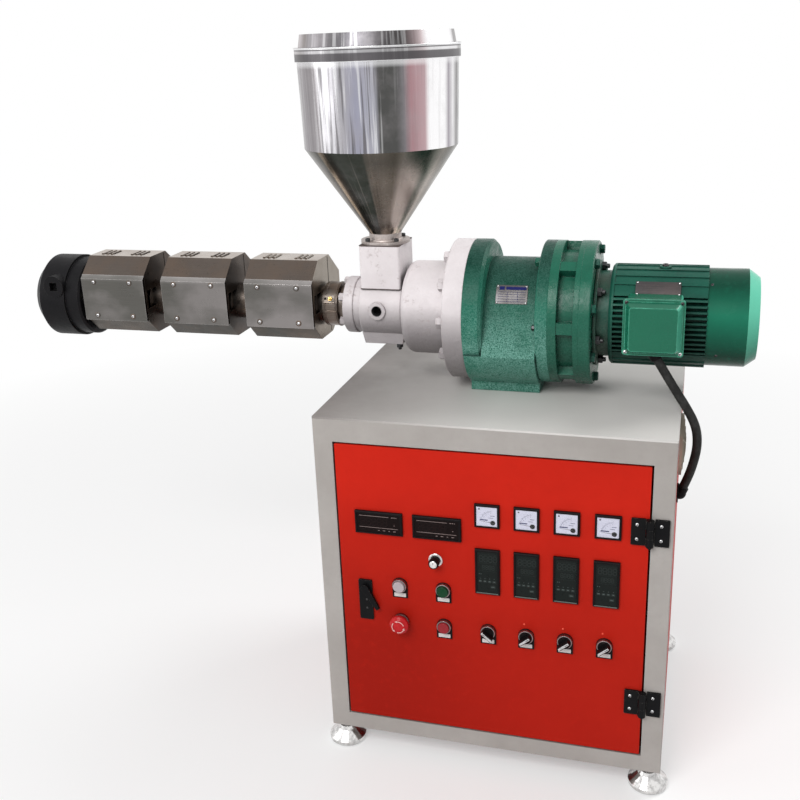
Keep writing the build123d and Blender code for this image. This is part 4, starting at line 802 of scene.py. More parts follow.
class Mesh:
    """Faces gathered in millimetres from the datum, then made into one object."""

    def __init__(self) -> None:
        """Start empty."""
        self.points: list[Vector] = []
        self.faces: list[tuple[int, ...]] = []
        self.slots: list[int] = []

    def add(self, points: Iterable[Sequence[float]], faces: Iterable[Sequence[int]], place: Matrix,
            slot: int = 0) -> None:
        """Take in faces given in a local frame."""
        base = len(self.points)
        self.points += [place @ Vector(p) for p in points]
        for face in faces:
            self.faces.append(tuple(base + i for i in face))
            self.slots.append(slot)

    def turned(self, profile: Sequence[tuple[float, float]], place: Matrix, sides: int = 32, slot: int = 0) -> None:
        """Turn (radius, height) points about the local Z axis.

        Args:
            profile: points from the bottom to the top; a radius of 0 closes the end.
            place: where the local frame sits.
            sides: faces around.
            slot: material number.
        """
        points, rows = [], []
        for radius, height in profile:
            if radius < 1e-6:
                rows.append([len(points)] * sides)
                points.append((0.0, 0.0, height))
                continue
            rows.append(list(range(len(points), len(points) + sides)))
            for i in range(sides):
                a = 2 * math.pi * i / sides
                points.append((radius * math.cos(a), radius * math.sin(a), height))
        faces = []
        for low, high in zip(rows, rows[1:]):
            for i in range(sides):
                j = (i + 1) % sides
                ring = [low[i], low[j], high[j], high[i]]
                face = [v for k, v in enumerate(ring) if v != ring[k - 1]]
                if len(face) > 2:
                    faces.append(face)
        self.add(points, faces, place, slot)

    def prism(self, outline: Outline, height: float, place: Matrix, bevel: float = 0.0, slot: int = 0) -> None:
        """Raise an outline along local Z, with its top edge bevelled.

        Args:
            outline: corners, anticlockwise, about the local origin.
            height: full height.
            place: where the local frame sits.
            bevel: size of the top edge's bevel.
            slot: material number.
        """
        count = len(outline)
        rings = [(outline, 0.0), (outline, height - bevel)]
        if bevel:
            rings.append((inset(outline, bevel), height))
        points = [(x, y, z) for ring, z in rings for x, y in ring]
        faces = []
        for k in range(len(rings) - 1):
            for i in range(count):
                j = (i + 1) % count
                faces.append((k * count + i, k * count + j, (k + 1) * count + j, (k + 1) * count + i))
        faces.append(tuple(range((len(rings) - 1) * count, len(rings) * count)))
        faces.append(tuple(reversed(range(count))))
        self.add(points, faces, place, slot)

    def bar(self, size: tuple[float, ...], height: float, place: Matrix, bevel: float = 0.0, slot: int = 0) -> None:
        """Raise a rectangle given by its width, length and, if rounded, its corner radius."""
        self.prism(rectangle(*size), height, place, bevel, slot)

    def sector(self, radii: tuple[float, float], angles: tuple[float, float], height: float, place: Matrix,
               slot: int = 0, steps: int = 12) -> None:
        """Raise part of a flat ring along local Z; angles in degrees, anticlockwise from local X."""
        a0, a1 = (math.radians(a) for a in angles)
        turns = [a0 + (a1 - a0) * i / steps for i in range(steps + 1)]
        outer = [(radii[1] * math.cos(a), radii[1] * math.sin(a)) for a in turns]
        inner = [(radii[0] * math.cos(a), radii[0] * math.sin(a)) for a in turns]
        for i in range(steps):
            self.prism([outer[i], outer[i + 1], inner[i + 1], inner[i]], height, place, 0, slot)

    def curved_plate(self, xs: tuple[float, float], angles: tuple[float, float], radius: float, height: float,
                     slot: int = 0, steps: int = 10) -> None:
        """Thin plate bent round the screw axis; angles rise from the front, in degrees."""
        points, faces = [], []
        for i in range(steps + 1):
            a = math.radians(angles[0] + (angles[1] - angles[0]) * i / steps)
            for r in (radius, radius + height):
                for x in xs:
                    points.append((x, Datum.axis_y - r * math.cos(a), Datum.axis_z + r * math.sin(a)))
        for i in range(steps):
            a, b = 4 * i, 4 * i + 4
            faces += [(a + 2, a + 3, b + 3, b + 2), (a, b, b + 1, a + 1),
                      (a, a + 2, b + 2, b), (a + 1, b + 1, b + 3, a + 3)]
        end = 4 * steps
        faces += [(0, 1, 3, 2), (end, end + 2, end + 3, end + 1)]
        self.add(points, faces, Matrix.Identity(4), slot)

    def make(self, name: str, materials: Sequence[bpy.types.Material], body: Body, slot: Slot | None = None,
             smooth: float = 35.0) -> bpy.types.Object:
        """Make the object and let it ride.

        Args:
            name: object's name.
            materials: materials by slot number.
            body: body that it moves with.
            slot: record's slot that its finish comes from; not used.
            smooth: edges sharper than this stay hard, in degrees.

        Returns:
            The object.
        """
        mesh = bpy.data.meshes.new(name)
        mesh.from_pydata([Datum.place(*p) for p in self.points], [], self.faces)
        for material in materials:
            mesh.materials.append(material)
        mesh.polygons.foreach_set("material_index", self.slots)
        mesh.validate()
        mesh.shade_smooth()
        mesh.set_sharp_from_angle(angle=math.radians(smooth))
        piece = placed(name, mesh)
        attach(piece, body.value)
        LOG.info("%s: %d faces on %s", name, len(self.faces), body.value)
        return piece


def inset(outline: Outline, by: float) -> Outline:
    """Outline moved inwards by an even margin."""
    moved = []
    count = len(outline)
    for i in range(count):
        a, b, c = (Vector(outline[(i + k) % count]) for k in (-1, 0, 1))
        first, second = (b - a).normalized(), (c - b).normalized()
        left, right = Vector((-first.y, first.x)), Vector((-second.y, second.x))
        both = left + right
        moved.append(tuple(b + both * (by / max(0.2, both.dot(left)))))
    return moved


def rectangle(w: float, h: float, corner: float = 0.0, steps: int = 4) -> Outline:
    """Centred rectangle with rounded corners."""
    if not corner:
        return [(-w / 2, -h / 2), (w / 2, -h / 2), (w / 2, h / 2), (-w / 2, h / 2)]
    points = []
    for k, (sx, sy) in enumerate(((1, -1), (1, 1), (-1, 1), (-1, -1))):
        for i in range(steps + 1):
            a = math.radians(-90 + 90 * k + 90 * i / steps)
            points.append((sx * (w / 2 - corner) + corner * math.cos(a), sy * (h / 2 - corner) + corner * math.sin(a)))
    return points


def polygon(sides: int, radius: float, turn: float = 0.0) -> Outline:
    """Regular polygon by its corner radius."""
    return [(radius * math.cos(turn + 2 * math.pi * i / sides), radius * math.sin(turn + 2 * math.pi * i / sides))
            for i in range(sides)]


class Facing(Enum):
    """Ways that a piece can face: its local X, Y and Z axes in the row frame."""

    FRONT = ((1, 0, 0), (0, 0, 1), (0, -1, 0))
    BACK = ((-1, 0, 0), (0, 0, 1), (0, 1, 0))
    UP = ((1, 0, 0), (0, 1, 0), (0, 0, 1))
    DOWN = ((1, 0, 0), (0, -1, 0), (0, 0, -1))
    RIGHT = ((0, 1, 0), (0, 0, 1), (1, 0, 0))
    LEFT = ((0, -1, 0), (0, 0, 1), (-1, 0, 0))

    def at(self, x: float, y: float, z: float, spin: float = 0.0) -> Matrix:
        """Frame facing this way at a point, turned by some degrees about its own Z."""
        turn = Matrix([list(axis) for axis in self.value]).transposed().to_4x4()
        return Matrix.Translation((x, y, z)) @ turn @ Matrix.Rotation(math.radians(spin), 4, "Z")


def shifted(place: Matrix, x: float, y: float, z: float = 0.0) -> Matrix:
    """Frame moved along its own axes."""
    return place @ Matrix.Translation((x, y, z))


def radial(x: float, angle: float, radius: float) -> Matrix:
    """Frame on a cylinder about the screw axis, facing out; the angle rises from the front."""
    a = math.radians(angle)
    out = Vector((0, -math.cos(a), math.sin(a)))
    up = Vector((0, math.sin(a), math.cos(a)))
    turn = Matrix(((1, 0, 0), up, out)).transposed().to_4x4()
    return Matrix.Translation((x, Datum.axis_y + out.y * radius, Datum.axis_z + out.z * radius)) @ turn


def on_circle(x: float, angle: float, radius: float, way: Facing) -> Matrix:
    """Frame on a flange face at an angle that rises from the front."""
    a = math.radians(angle)
    return way.at(x, Datum.axis_y - radius * math.cos(a), Datum.axis_z + radius * math.sin(a), angle)


class Fastener:
    """Screws, bolts and washers, drawn on their local Z axis."""

    @staticmethod
    def washer(mesh: Mesh, place: Matrix, radius: float, height: float, sides: int, slot: int = 0,
               chamfer: tuple[float, float] | None = None) -> None:
        """Disc under a head; a chamfer is given by how far it goes in and down."""
        rim = [(radius, height)]
        if chamfer:
            rim = [(radius, height - chamfer[1]), (radius - chamfer[0], height)]
        mesh.turned([(radius, 0), *rim, (0, height)], place, sides, slot)

    @staticmethod
    def hex_bolt(mesh: Mesh, place: Matrix, across: float, height: float, slot: int = 0) -> None:
        """Hexagon head with a chamfered top."""
        mesh.prism(polygon(6, across / math.sqrt(3)), height, place, height * 0.14, slot)

    @staticmethod
    def stud(mesh: Mesh, place: Matrix, across: float, nut: float, length: float, slot: int = 0) -> None:
        """Nut on a threaded stud that stands through it."""
        Fastener.hex_bolt(mesh, place, across, nut, slot)
        Fastener.washer(mesh, place, across * 0.3, length, 16, slot, (1.0, 1.0))

    @staticmethod
    def socket_screw(mesh: Mesh, place: Matrix, radius: float, height: float) -> None:
        """Cap screw with a hexagon socket, in the second material."""
        r, floor = radius, height * 0.45
        mesh.turned([(r, 0), (r, height - 0.6), (r - 0.6, height), (r * 0.62, height), (r * 0.56, floor), (0, floor)],
                    place, 20)
        # The socket drawn as a dark hexagon near its floor: painted shade of its depth.
        mesh.prism(polygon(6, r * 0.5), height * 0.5, place, 0, 1)

    @staticmethod
    def pan_screw(mesh: Mesh, place: Matrix, radius: float, slot: int = 0) -> None:
        """Domed screw with a cross recess, in the second material."""
        r, rise = radius, radius * 0.55
        dome = [(r, 0)] + [(r * math.cos(t), rise * math.sin(t)) for t in (0.35, 0.75, 1.15)] + [(0, rise)]
        mesh.turned(dome, place, 20, slot)
        for spin in (45, 135):
            turn = place @ Matrix.Rotation(math.radians(spin), 4, "Z")
            mesh.bar((r * 1.1, r * 0.22), r * 0.285, shifted(turn, 0, 0, r * 0.30), 0, 1)


@dataclass(frozen=True)
class Mark:
    """Thin raised bar on a dial or window: its size, its middle and its material number."""

    size: tuple[float, ...]
    at: tuple[float, float]
    slot: int
    thick: float = 0.1

    def draw(self, mesh: Mesh, top: Matrix) -> None:
        """Add the bar to a mesh, on the frame of the face that carries it."""
        mesh.bar(self.size, self.thick, shifted(top, *self.at), 0, self.slot)


@dataclass(frozen=True)
class RuledPlate:
    """Metal plate bent round the screw axis, left blank but for ruled fields and headers, with four rivets."""

    xs: tuple[float, float]
    angles: tuple[float, float]
    radius: float
    rows: tuple[float, float, float]
    columns: tuple[float, float, float]
    rivets: tuple[float, float]
    headers: tuple[tuple[float, float, float, float], ...] = ()
    count: int = 5
    margin: float = 4.0

    def draw(self, mesh: Mesh) -> None:
        """Add the plate; rows give the first angle, the step and the width, columns two places and their height."""
        (x0, x1), (a0, a1), face = self.xs, self.angles, self.radius + 1.05
        first, step, wide = self.rows
        mesh.curved_plate(self.xs, self.angles, self.radius + 0.05, 1.0, 0)
        for start, end, low, high in self.headers:
            mesh.curved_plate((start, end), (a1 - low, a1 - high), face, 0.15, 1)
        for k in range(self.count):
            a = a0 + first + step * k
            mesh.curved_plate((x0 + self.margin, x1 - self.margin), (a, a + wide), face, 0.12, 1)
        for x in (x0 + self.columns[0], x0 + self.columns[1]):
            mesh.curved_plate((x - 0.3, x + 0.3), (a0 + first, a0 + self.columns[2]), face, 0.12, 1)
        across, along = self.rivets
        for x in (x0 + across, x1 - across):
            for a in (a0 + along, a1 - along):
                mesh.turned([(1.8, 0), (1.6, 0.7), (0.9, 1.2), (0, 1.3)], radial(x, a, self.radius + 1.0), 14, 2)


class Segments:
    """Seven-segment figures made of thin raised bars."""

    lit: dict[str, str] = {"0": "abcdef", "1": "bc", "2": "abged", "3": "abgcd", "4": "fgbc", "5": "afgcd",
                           "6": "afgedc", "7": "abc", "8": "abcdefg"}

    @classmethod
    def draw(cls, mesh: Mesh, place: Matrix, text: str, height: float, slot: int, thick: float = 0.14) -> None:
        """Write figures centred on the place.

        Args:
            mesh: mesh that takes the bars.
            place: middle of the row of figures.
            text: figures to write.
            height: height of a figure.
            slot: material number.
            thick: width of a bar as a share of the height.
        """
        w, t, step = height * 0.52, height * thick, height * 0.72
        spots = {"a": (0, height / 2, 0), "d": (0, -height / 2, 0), "g": (0, 0, 0), "f": (-w / 2, height / 4, 1),
                 "b": (w / 2, height / 4, 1), "e": (-w / 2, -height / 4, 1), "c": (w / 2, -height / 4, 1)}
        for i, figure in enumerate(text):
            x0 = (i - (len(text) - 1) / 2) * step
            for key in cls.lit[figure]:
                x, y, upright = spots[key]
                size = (t, height / 2 - t * 1.2) if upright else (w - t * 0.4, t)
                mesh.bar(size, 0.12, shifted(place, x0 + x, y), 0, slot)


def spread(node: str, count: int, width: float) -> list[float]:
    """Middles of like pieces that stand evenly along a node's X."""
    low, high = Datum.span(node)
    return [low.x + width / 2 + i * (high.x - low.x - width) / (count - 1) for i in range(count)]


def middle(node: str) -> tuple[float, float]:
    """X and Z of a node's middle."""
    low, high = Datum.span(node)
    return (low.x + high.x) / 2, (low.z + high.z) / 2


def dress(finish: bpy.types.Material, *nodes: str) -> None:
    """Give frame nodes their finish."""
    for node in nodes:
        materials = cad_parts[node].data.materials
        materials.clear()
        materials.append(finish)


@dataclass
class Cabinet:
    """Welded cabinet: frame, top, panels, feet, door and its fittings."""

    finishes: Finishes
    screw_r: float = 3.4
    hinge_x: tuple[float, float] = (616.0, 658.5)
    hinge_step: float = 29.0
    hinge_face: float = -4.0
    hinge_in: float = 26.5
    latch_screw_r: float = 2.4
    latch_screw_aside: float = 2.0
    latch_drops: tuple[float, float] = (0.0, 19.0)
    stud_in: float = 39.0
    nut_z: float = 36.0
    nut: tuple[float, float] = (22.0, 8.0)

    def build(self) -> None:
        """Dress the nodes and add the small parts."""
        f = self.finishes
        dress(f.grey, "cabinet_frame")
        dress(f.top_grey, "top_plate")
        dress(f.red, "cabinet_panels", "front_door")
        dress(f.chrome, "levelling_feet")
        dress(f.cream, "fan_guard")
        dress(f.black_enamel, "hinge_door_leaves", "hinge_frame_leaves", "latch_plate", "latch_lever")
        self.hinge_screws()
        self.latch_screws()
        self.foot_nuts()

    def hinge_screws(self) -> None:
        """Two screws in each leaf of both hinges."""
        low, high = Datum.span("hinge_door_leaves")
        for body, node, x in ((Body.DOOR, "hinge_door_leaves", self.hinge_x[0]),
                              (Body.FRAME, "hinge_frame_leaves", self.hinge_x[1])):
            mesh = Mesh()
            for leaf_z in (low.z + self.hinge_in, high.z - self.hinge_in):
                for step in (-0.5, 0.5):
                    place = Facing.FRONT.at(x, self.hinge_face, leaf_z + step * self.hinge_step, 20 + 50 * step)
                    Fastener.pan_screw(mesh, place, self.screw_r)
            mesh.make(f"{node}_screws", (self.finishes.zinc, self.finishes.ink), body, Slot.BARE)

    def latch_screws(self) -> None:
        """Two screws that hold the latch plate."""
        front = Datum.span("latch_plate")[0].y
        x, z = middle("latch_plate")
        mesh = Mesh()
        for drop in self.latch_drops:
            place = Facing.FRONT.at(x + self.latch_screw_aside, front, z - drop, 30)
            Fastener.pan_screw(mesh, place, self.latch_screw_r)
        mesh.make("latch_screws", (self.finishes.label, self.finishes.ink), Body.DOOR, Slot.BARE)

    def foot_nuts(self) -> None:
        """Lock nuts on the studs of the feet."""
        low, high = Datum.span("levelling_feet")
        mesh = Mesh()
        for x in (low.x + self.stud_in, high.x - self.stud_in):
            for y in (low.y + self.stud_in, high.y - self.stud_in):
                Fastener.hex_bolt(mesh, Facing.UP.at(x, y, self.nut_z, 15), *self.nut)
        mesh.make("foot_lock_nuts", (self.finishes.zinc,), Body.FRAME, Slot.BARE)


@dataclass
class Panel:
    """Instruments and controls on the door; lengths in millimetres, out from the door's face."""

    finishes: Finishes
    face: float = 48.0
    window_out: float = 4.5
    bezel: float = 4.0
    gap: float = 0.4
    sheet: float = 0.35
    pane_out: float = 0.95
    pivot: tuple[float, float] = (11.5, -12.0)
    scale_r: float = 23.0
    scale_from: float = 97.0
    scale_turn: float = 76.0
    scale_steps: int = 25
    figure_r: float = 20.0
    figure_from: float = 100.0
    needle_at: float = 174.0
    ring_r: float = 14.8
    plate_out: float = 2.0
    strip_down: float = 21.6
    lamp_at: tuple[float, float] = (-4.0, 25.0)
    handle_out: float = 24.3
    leans: tuple[float, ...] = (50.0, -50.0, -50.0, -50.0)
    stop_out: float = 27.0
    arrow_end: float = 98.0
    knob_out: float = 20.0
    knob_ribs: int = 24

    @property
    def inner(self) -> float:
        """Width of the window in a square face."""
        return self.face - 2 * self.bezel - self.gap

    def build(self) -> None:
        """Dress the nodes and add faces, scales and labels."""
        f = self.finishes
        dress(f.dark, "current_meters", "temperature_controllers", "digital_displays", "control_bases", "speed_knob",
              *SELECTORS)
        dress(f.white_cap, "white_button")
        dress(f.green_cap, "green_button")
        dress(f.red_cap, "red_button")
        dress(f.stop_cap, "stop_button")
        self.meters()
        self.controllers()
        self.displays()
        self.rings()
        self.handles()
        self.arrows()
        self.speed_dial()

    def window(self, mesh: Mesh, x: float, z: float, width: float, height: float) -> Matrix:
        """Add the sheet of a window.

        Args:
            mesh: mesh that takes the sheet.
            x: middle of the window, across.
            z: middle of the window, up.
            width: width of the sheet.
            height: height of the sheet.

        Returns:
            The frame on the sheet's face.
        """
        base = Facing.FRONT.at(x, -self.window_out + 0.05, z)
        mesh.bar((width, height, 1.0), self.sheet, base)
        return shifted(base, 0, 0, self.sheet)

    def meters(self) -> None:
        """White dial with scale, figures, needle and pivot cover behind a clear pane."""
        f = self.finishes
        z = Datum.span("current_meters")[1].z - self.face / 2
        mesh, panes = Mesh(), Mesh()
        marks = (Mark((15.0, 2.2, 0.5), (-5.5, -7.0), 3), Mark((8.5, 1.4, 0.3), (11.0, 2.2), 2),
                 Mark((9.0, 1.1, 0.3), (8.0, -2.2), 2), Mark((3.2, 2.6, 0.3), (-14.5, 15.0), 1))
        for x in spread("current_meters", 4, self.face):
            top = self.window(mesh, x, z, self.inner, self.inner)
            pivot = shifted(top, *self.pivot)
            mesh.turned([(4.7, 0), (4.7, 0.5), (4.2, 0.8), (0, 0.8)], pivot, 28, 1)
            ends = (self.scale_from, self.scale_from + self.scale_turn)
            mesh.sector((self.scale_r - 0.2, self.scale_r + 0.15), ends, 0.08, pivot, 2, 24)
            for i in range(self.scale_steps + 1):
                turn = self.scale_from + self.scale_turn * i / self.scale_steps
                long, wide = (3.4, 0.42) if i % 5 == 0 else (1.9, 0.24)
                line = pivot @ Matrix.Rotation(math.radians(turn), 4, "Z")
                mesh.bar((long, wide), 0.1, shifted(line, self.scale_r + long / 2, 0), 0, 2)
            for i, figure in enumerate("54321"):
                a = math.radians(self.figure_from + self.scale_turn * i / 5)
                spot = shifted(pivot, self.figure_r * math.cos(a), self.figure_r * math.sin(a))
                Segments.draw(mesh, spot, figure, 2.0, 2, 0.18)
            for mark in marks:
                mark.draw(mesh, top)
            needle = pivot @ Matrix.Rotation(math.radians(self.needle_at), 4, "Z")
            mesh.prism([(0, -0.45), (23.5, -0.14), (23.5, 0.14), (0, 0.45)], 0.25, needle, 0, 1)
            panes.bar((self.inner, self.inner, 1.0), 0.5, Facing.FRONT.at(x, -self.window_out - self.pane_out, z))
        mesh.make("meter_dials", (f.face, f.ink, f.faint_ink, f.blue_ink), Body.DOOR)
        panes.make("meter_panes", (f.pane,), Body.DOOR)

    def controllers(self) -> None:
        """Dark window with two rows of unlit figures, marked keys and a pale lower edge."""
        f = self.finishes
        width, height = self.inner, self.inner + self.face
        z = Datum.span("temperature_controllers")[1].z - self.face
        key, pitch, key_z = (7.4, 5.0, 1.2), 9.0, -19.5
        enter, enter_at = (9.5, 5.6, 1.2), (11.0, -30.5)
        mesh = Mesh()
        for x in spread("temperature_controllers", 4, self.face):
            top = self.window(mesh, x, z, width, height)
            Segments.draw(mesh, shifted(top, 1.5, 29.0), "8888", 12.5, 1, 0.13)
            Segments.draw(mesh, shifted(top, 2.0, 10.5), "8888", 8.6, 1, 0.14)
            for up in (38.5, 19.5, 2.5):
                mesh.bar((width - 4, 0.35), 0.1, shifted(top, 0, up), 0, 1)
            for i in range(4):
                across = (i - 1.5) * pitch
                mesh.bar(key, 0.5, shifted(top, across, key_z), 0.2, 1)
                mesh.bar((4.6 - 0.5 * i, 1.7, 0.5), 0.12, shifted(top, across, key_z + 0.3, 0.5), 0, 2)
                mesh.bar((2.2, 0.8), 0.1, shifted(top, across, key_z + 5.9), 0, 2)
            for across in (-15.5, -12.0):
                mesh.turned([(0.9, 0), (0.9, 0.3), (0, 0.4)], shifted(top, across, -4.0), 12, 2)
            mesh.bar(enter, 0.5, shifted(top, *enter_at), 0.2, 1)
            mesh.bar((6.0, 1.4, 0.4), 0.12, shifted(top, *enter_at, 0.5), 0, 2)
            mesh.bar((self.face - 5, 2.2, 0.6), 0.5, Facing.FRONT.at(x, -5.6, z - self.face + 3.1), 0.2, 3)
        mesh.make("controller_faces", (f.slate, f.dim, f.mark, f.dim_line), Body.DOOR)

    def displays(self) -> None:
        """Smoked window with a line above and below the unlit figures and a row of key marks."""
        f = self.finishes
        z = Datum.span("digital_displays")[1].z - self.face / 2
        lines = [Mark((60.0, 0.9), (-9.0, 14.6), 2), Mark((78.0, 0.9), (0, -9.6), 2)]
        lines += [Mark((wide, 1.3, 0.3), (x, 14.6), 2) for x, wide in ((28.0, 3.4), (32.5, 2.6), (36.0, 1.8))]
        marks = [Mark((4.4, 2.6, 0.5), (31.0, 1.5), 1), Mark((2.6, 1.0, 0.3), (32.0, -2.2), 2, 0.12)]
        marks += [Mark((wide, 1.2, 0.3), (-31.5 + 10.6 * i, -15.0), 1 if i < 3 else 2)
                  for i, wide in enumerate((5.4, 2.2, 4.6, 3.4, 5.0, 2.8, 5.2))]
        mesh = Mesh()
        for x in spread("digital_displays", 2, 2 * self.face):
            top = self.window(mesh, x, z, self.inner + self.face, self.inner)
            for line in lines:
                line.draw(mesh, top)
            Segments.draw(mesh, shifted(top, -9.0, 2.5), "88888", 15.5, 1, 0.12)
            for mark in marks:
                mark.draw(mesh, top)
        mesh.make("display_faces", (f.smoke, f.unlit, f.pale_line), Body.DOOR)

    def rings(self) -> None:
        """Metal rings round the controls, the label strips under them and the small lamps over three selectors."""
        f = self.finishes
        rings, strips, lamps = Mesh(), Mesh(), Mesh()
        r = self.ring_r
        for node in ("white_button", "green_button", "red_button", *SELECTORS):
            x, z = middle(node)
            rings.turned([(r, 2.0), (r, 6.2), (r - 0.8, 8.1), (12.6, 8.5), (12.0, 8.1), (11.95, 5.5)],
                         Facing.FRONT.at(x, 0, z), 48)
            strips.bar((24.0, 8.2, 0.8), 0.7, Facing.FRONT.at(x, -self.plate_out + 0.1, z - self.strip_down), 0.15)
            if node in SELECTORS[1:]:
                place = Facing.FRONT.at(x + self.lamp_at[0], 0, z + self.lamp_at[1])
                lamps.turned([(2.0, -0.5), (2.0, 0.7), (1.4, 1.5), (0, 1.8)], place, 20)
        x, z = middle("stop_button")
        rings.turned([(16.3, 0.3), (16.3, 3.0), (15.6, 4.0), (12.5, 4.0)], Facing.FRONT.at(x, -2.2, z), 48)
        rings.make("control_rings", (f.satin,), Body.DOOR)
        strips.make("label_strips", (f.strip,), Body.DOOR, Slot.WHITE_PLASTIC)
        lamps.make("small_lamps", (f.lamp,), Body.DOOR, Slot.RED_PLASTIC)

    def handles(self) -> None:
        """Bright strips on the selector handles."""
        for node, lean in zip(SELECTORS, self.leans):
            x, z = middle(node)
            mesh = Mesh()
            place = Facing.FRONT.at(x, -self.handle_out + 0.35, z, lean)
            mesh.bar((4.4, 24.6, 1.4), 0.75, place, 0.35)
            mesh.bar((1.0, 7.0), 0.12, shifted(place, 0, 7.0, 0.72), 0, 1)
            mesh.make(f"{node}_cap", (self.finishes.zinc, self.finishes.ink), Body(node), Slot.BARE)

    def arrows(self) -> None:
        """Three turning arrows on the stop button."""
        x, z = middle("stop_button")
        mesh = Mesh()
        for i in range(3):
            place = Facing.FRONT.at(x, -self.stop_out + 0.12, z, 120 * i)
            mesh.sector((11.4, 13.2), (20, self.arrow_end), 0.3, place, 0, 10)
            tip = place @ Matrix.Rotation(math.radians(self.arrow_end), 4, "Z")
            mesh.prism([(-2.6, 0), (2.6, 0), (0, 4.6)], 0.3, shifted(tip, 12.3, 0))
        mesh.make("stop_arrows", (self.finishes.pink,), Body.STOP)

    def speed_dial(self) -> None:
        """Chrome nut and skirt of the speed control, and the knob's bright cap and ribs."""
        f = self.finishes
        x, z = middle("speed_knob")
        nut = Mesh()
        nut.turned([(14.0, 0.2), (14.0, 1.6), (13.4, 2.2), (12.3, 2.4), (12.3, 3.6), (11.8, 4.2), (8.2, 4.2)],
                   Facing.FRONT.at(x, 0, z), 40)
        nut.make("speed_nut", (f.chrome,), Body.DOOR, Slot.BARE)
        cap = Mesh()
        cap.turned([(7.4, -0.4), (7.4, 0.7), (6.8, 1.2), (0, 1.25)], Facing.FRONT.at(x, -self.knob_out, z), 36)
        cap.bar((1.0, 6.5), 0.2, Facing.FRONT.at(x, -self.knob_out - 1.2, z + 3.0), 0, 1)
        for i in range(self.knob_ribs):
            rib = shifted(Facing.FRONT.at(x, -self.knob_out + 7.0, z, 360 / self.knob_ribs * i), 10.0, 0)
            cap.bar((0.9, 9.5), 0.5, shifted(rib @ Matrix.Rotation(math.radians(90), 4, "X"), 0, 0, -0.25), 0, 2)
        cap.make("speed_cap", (f.chrome, f.ink, f.dark), Body.SPEED, Slot.BARE)


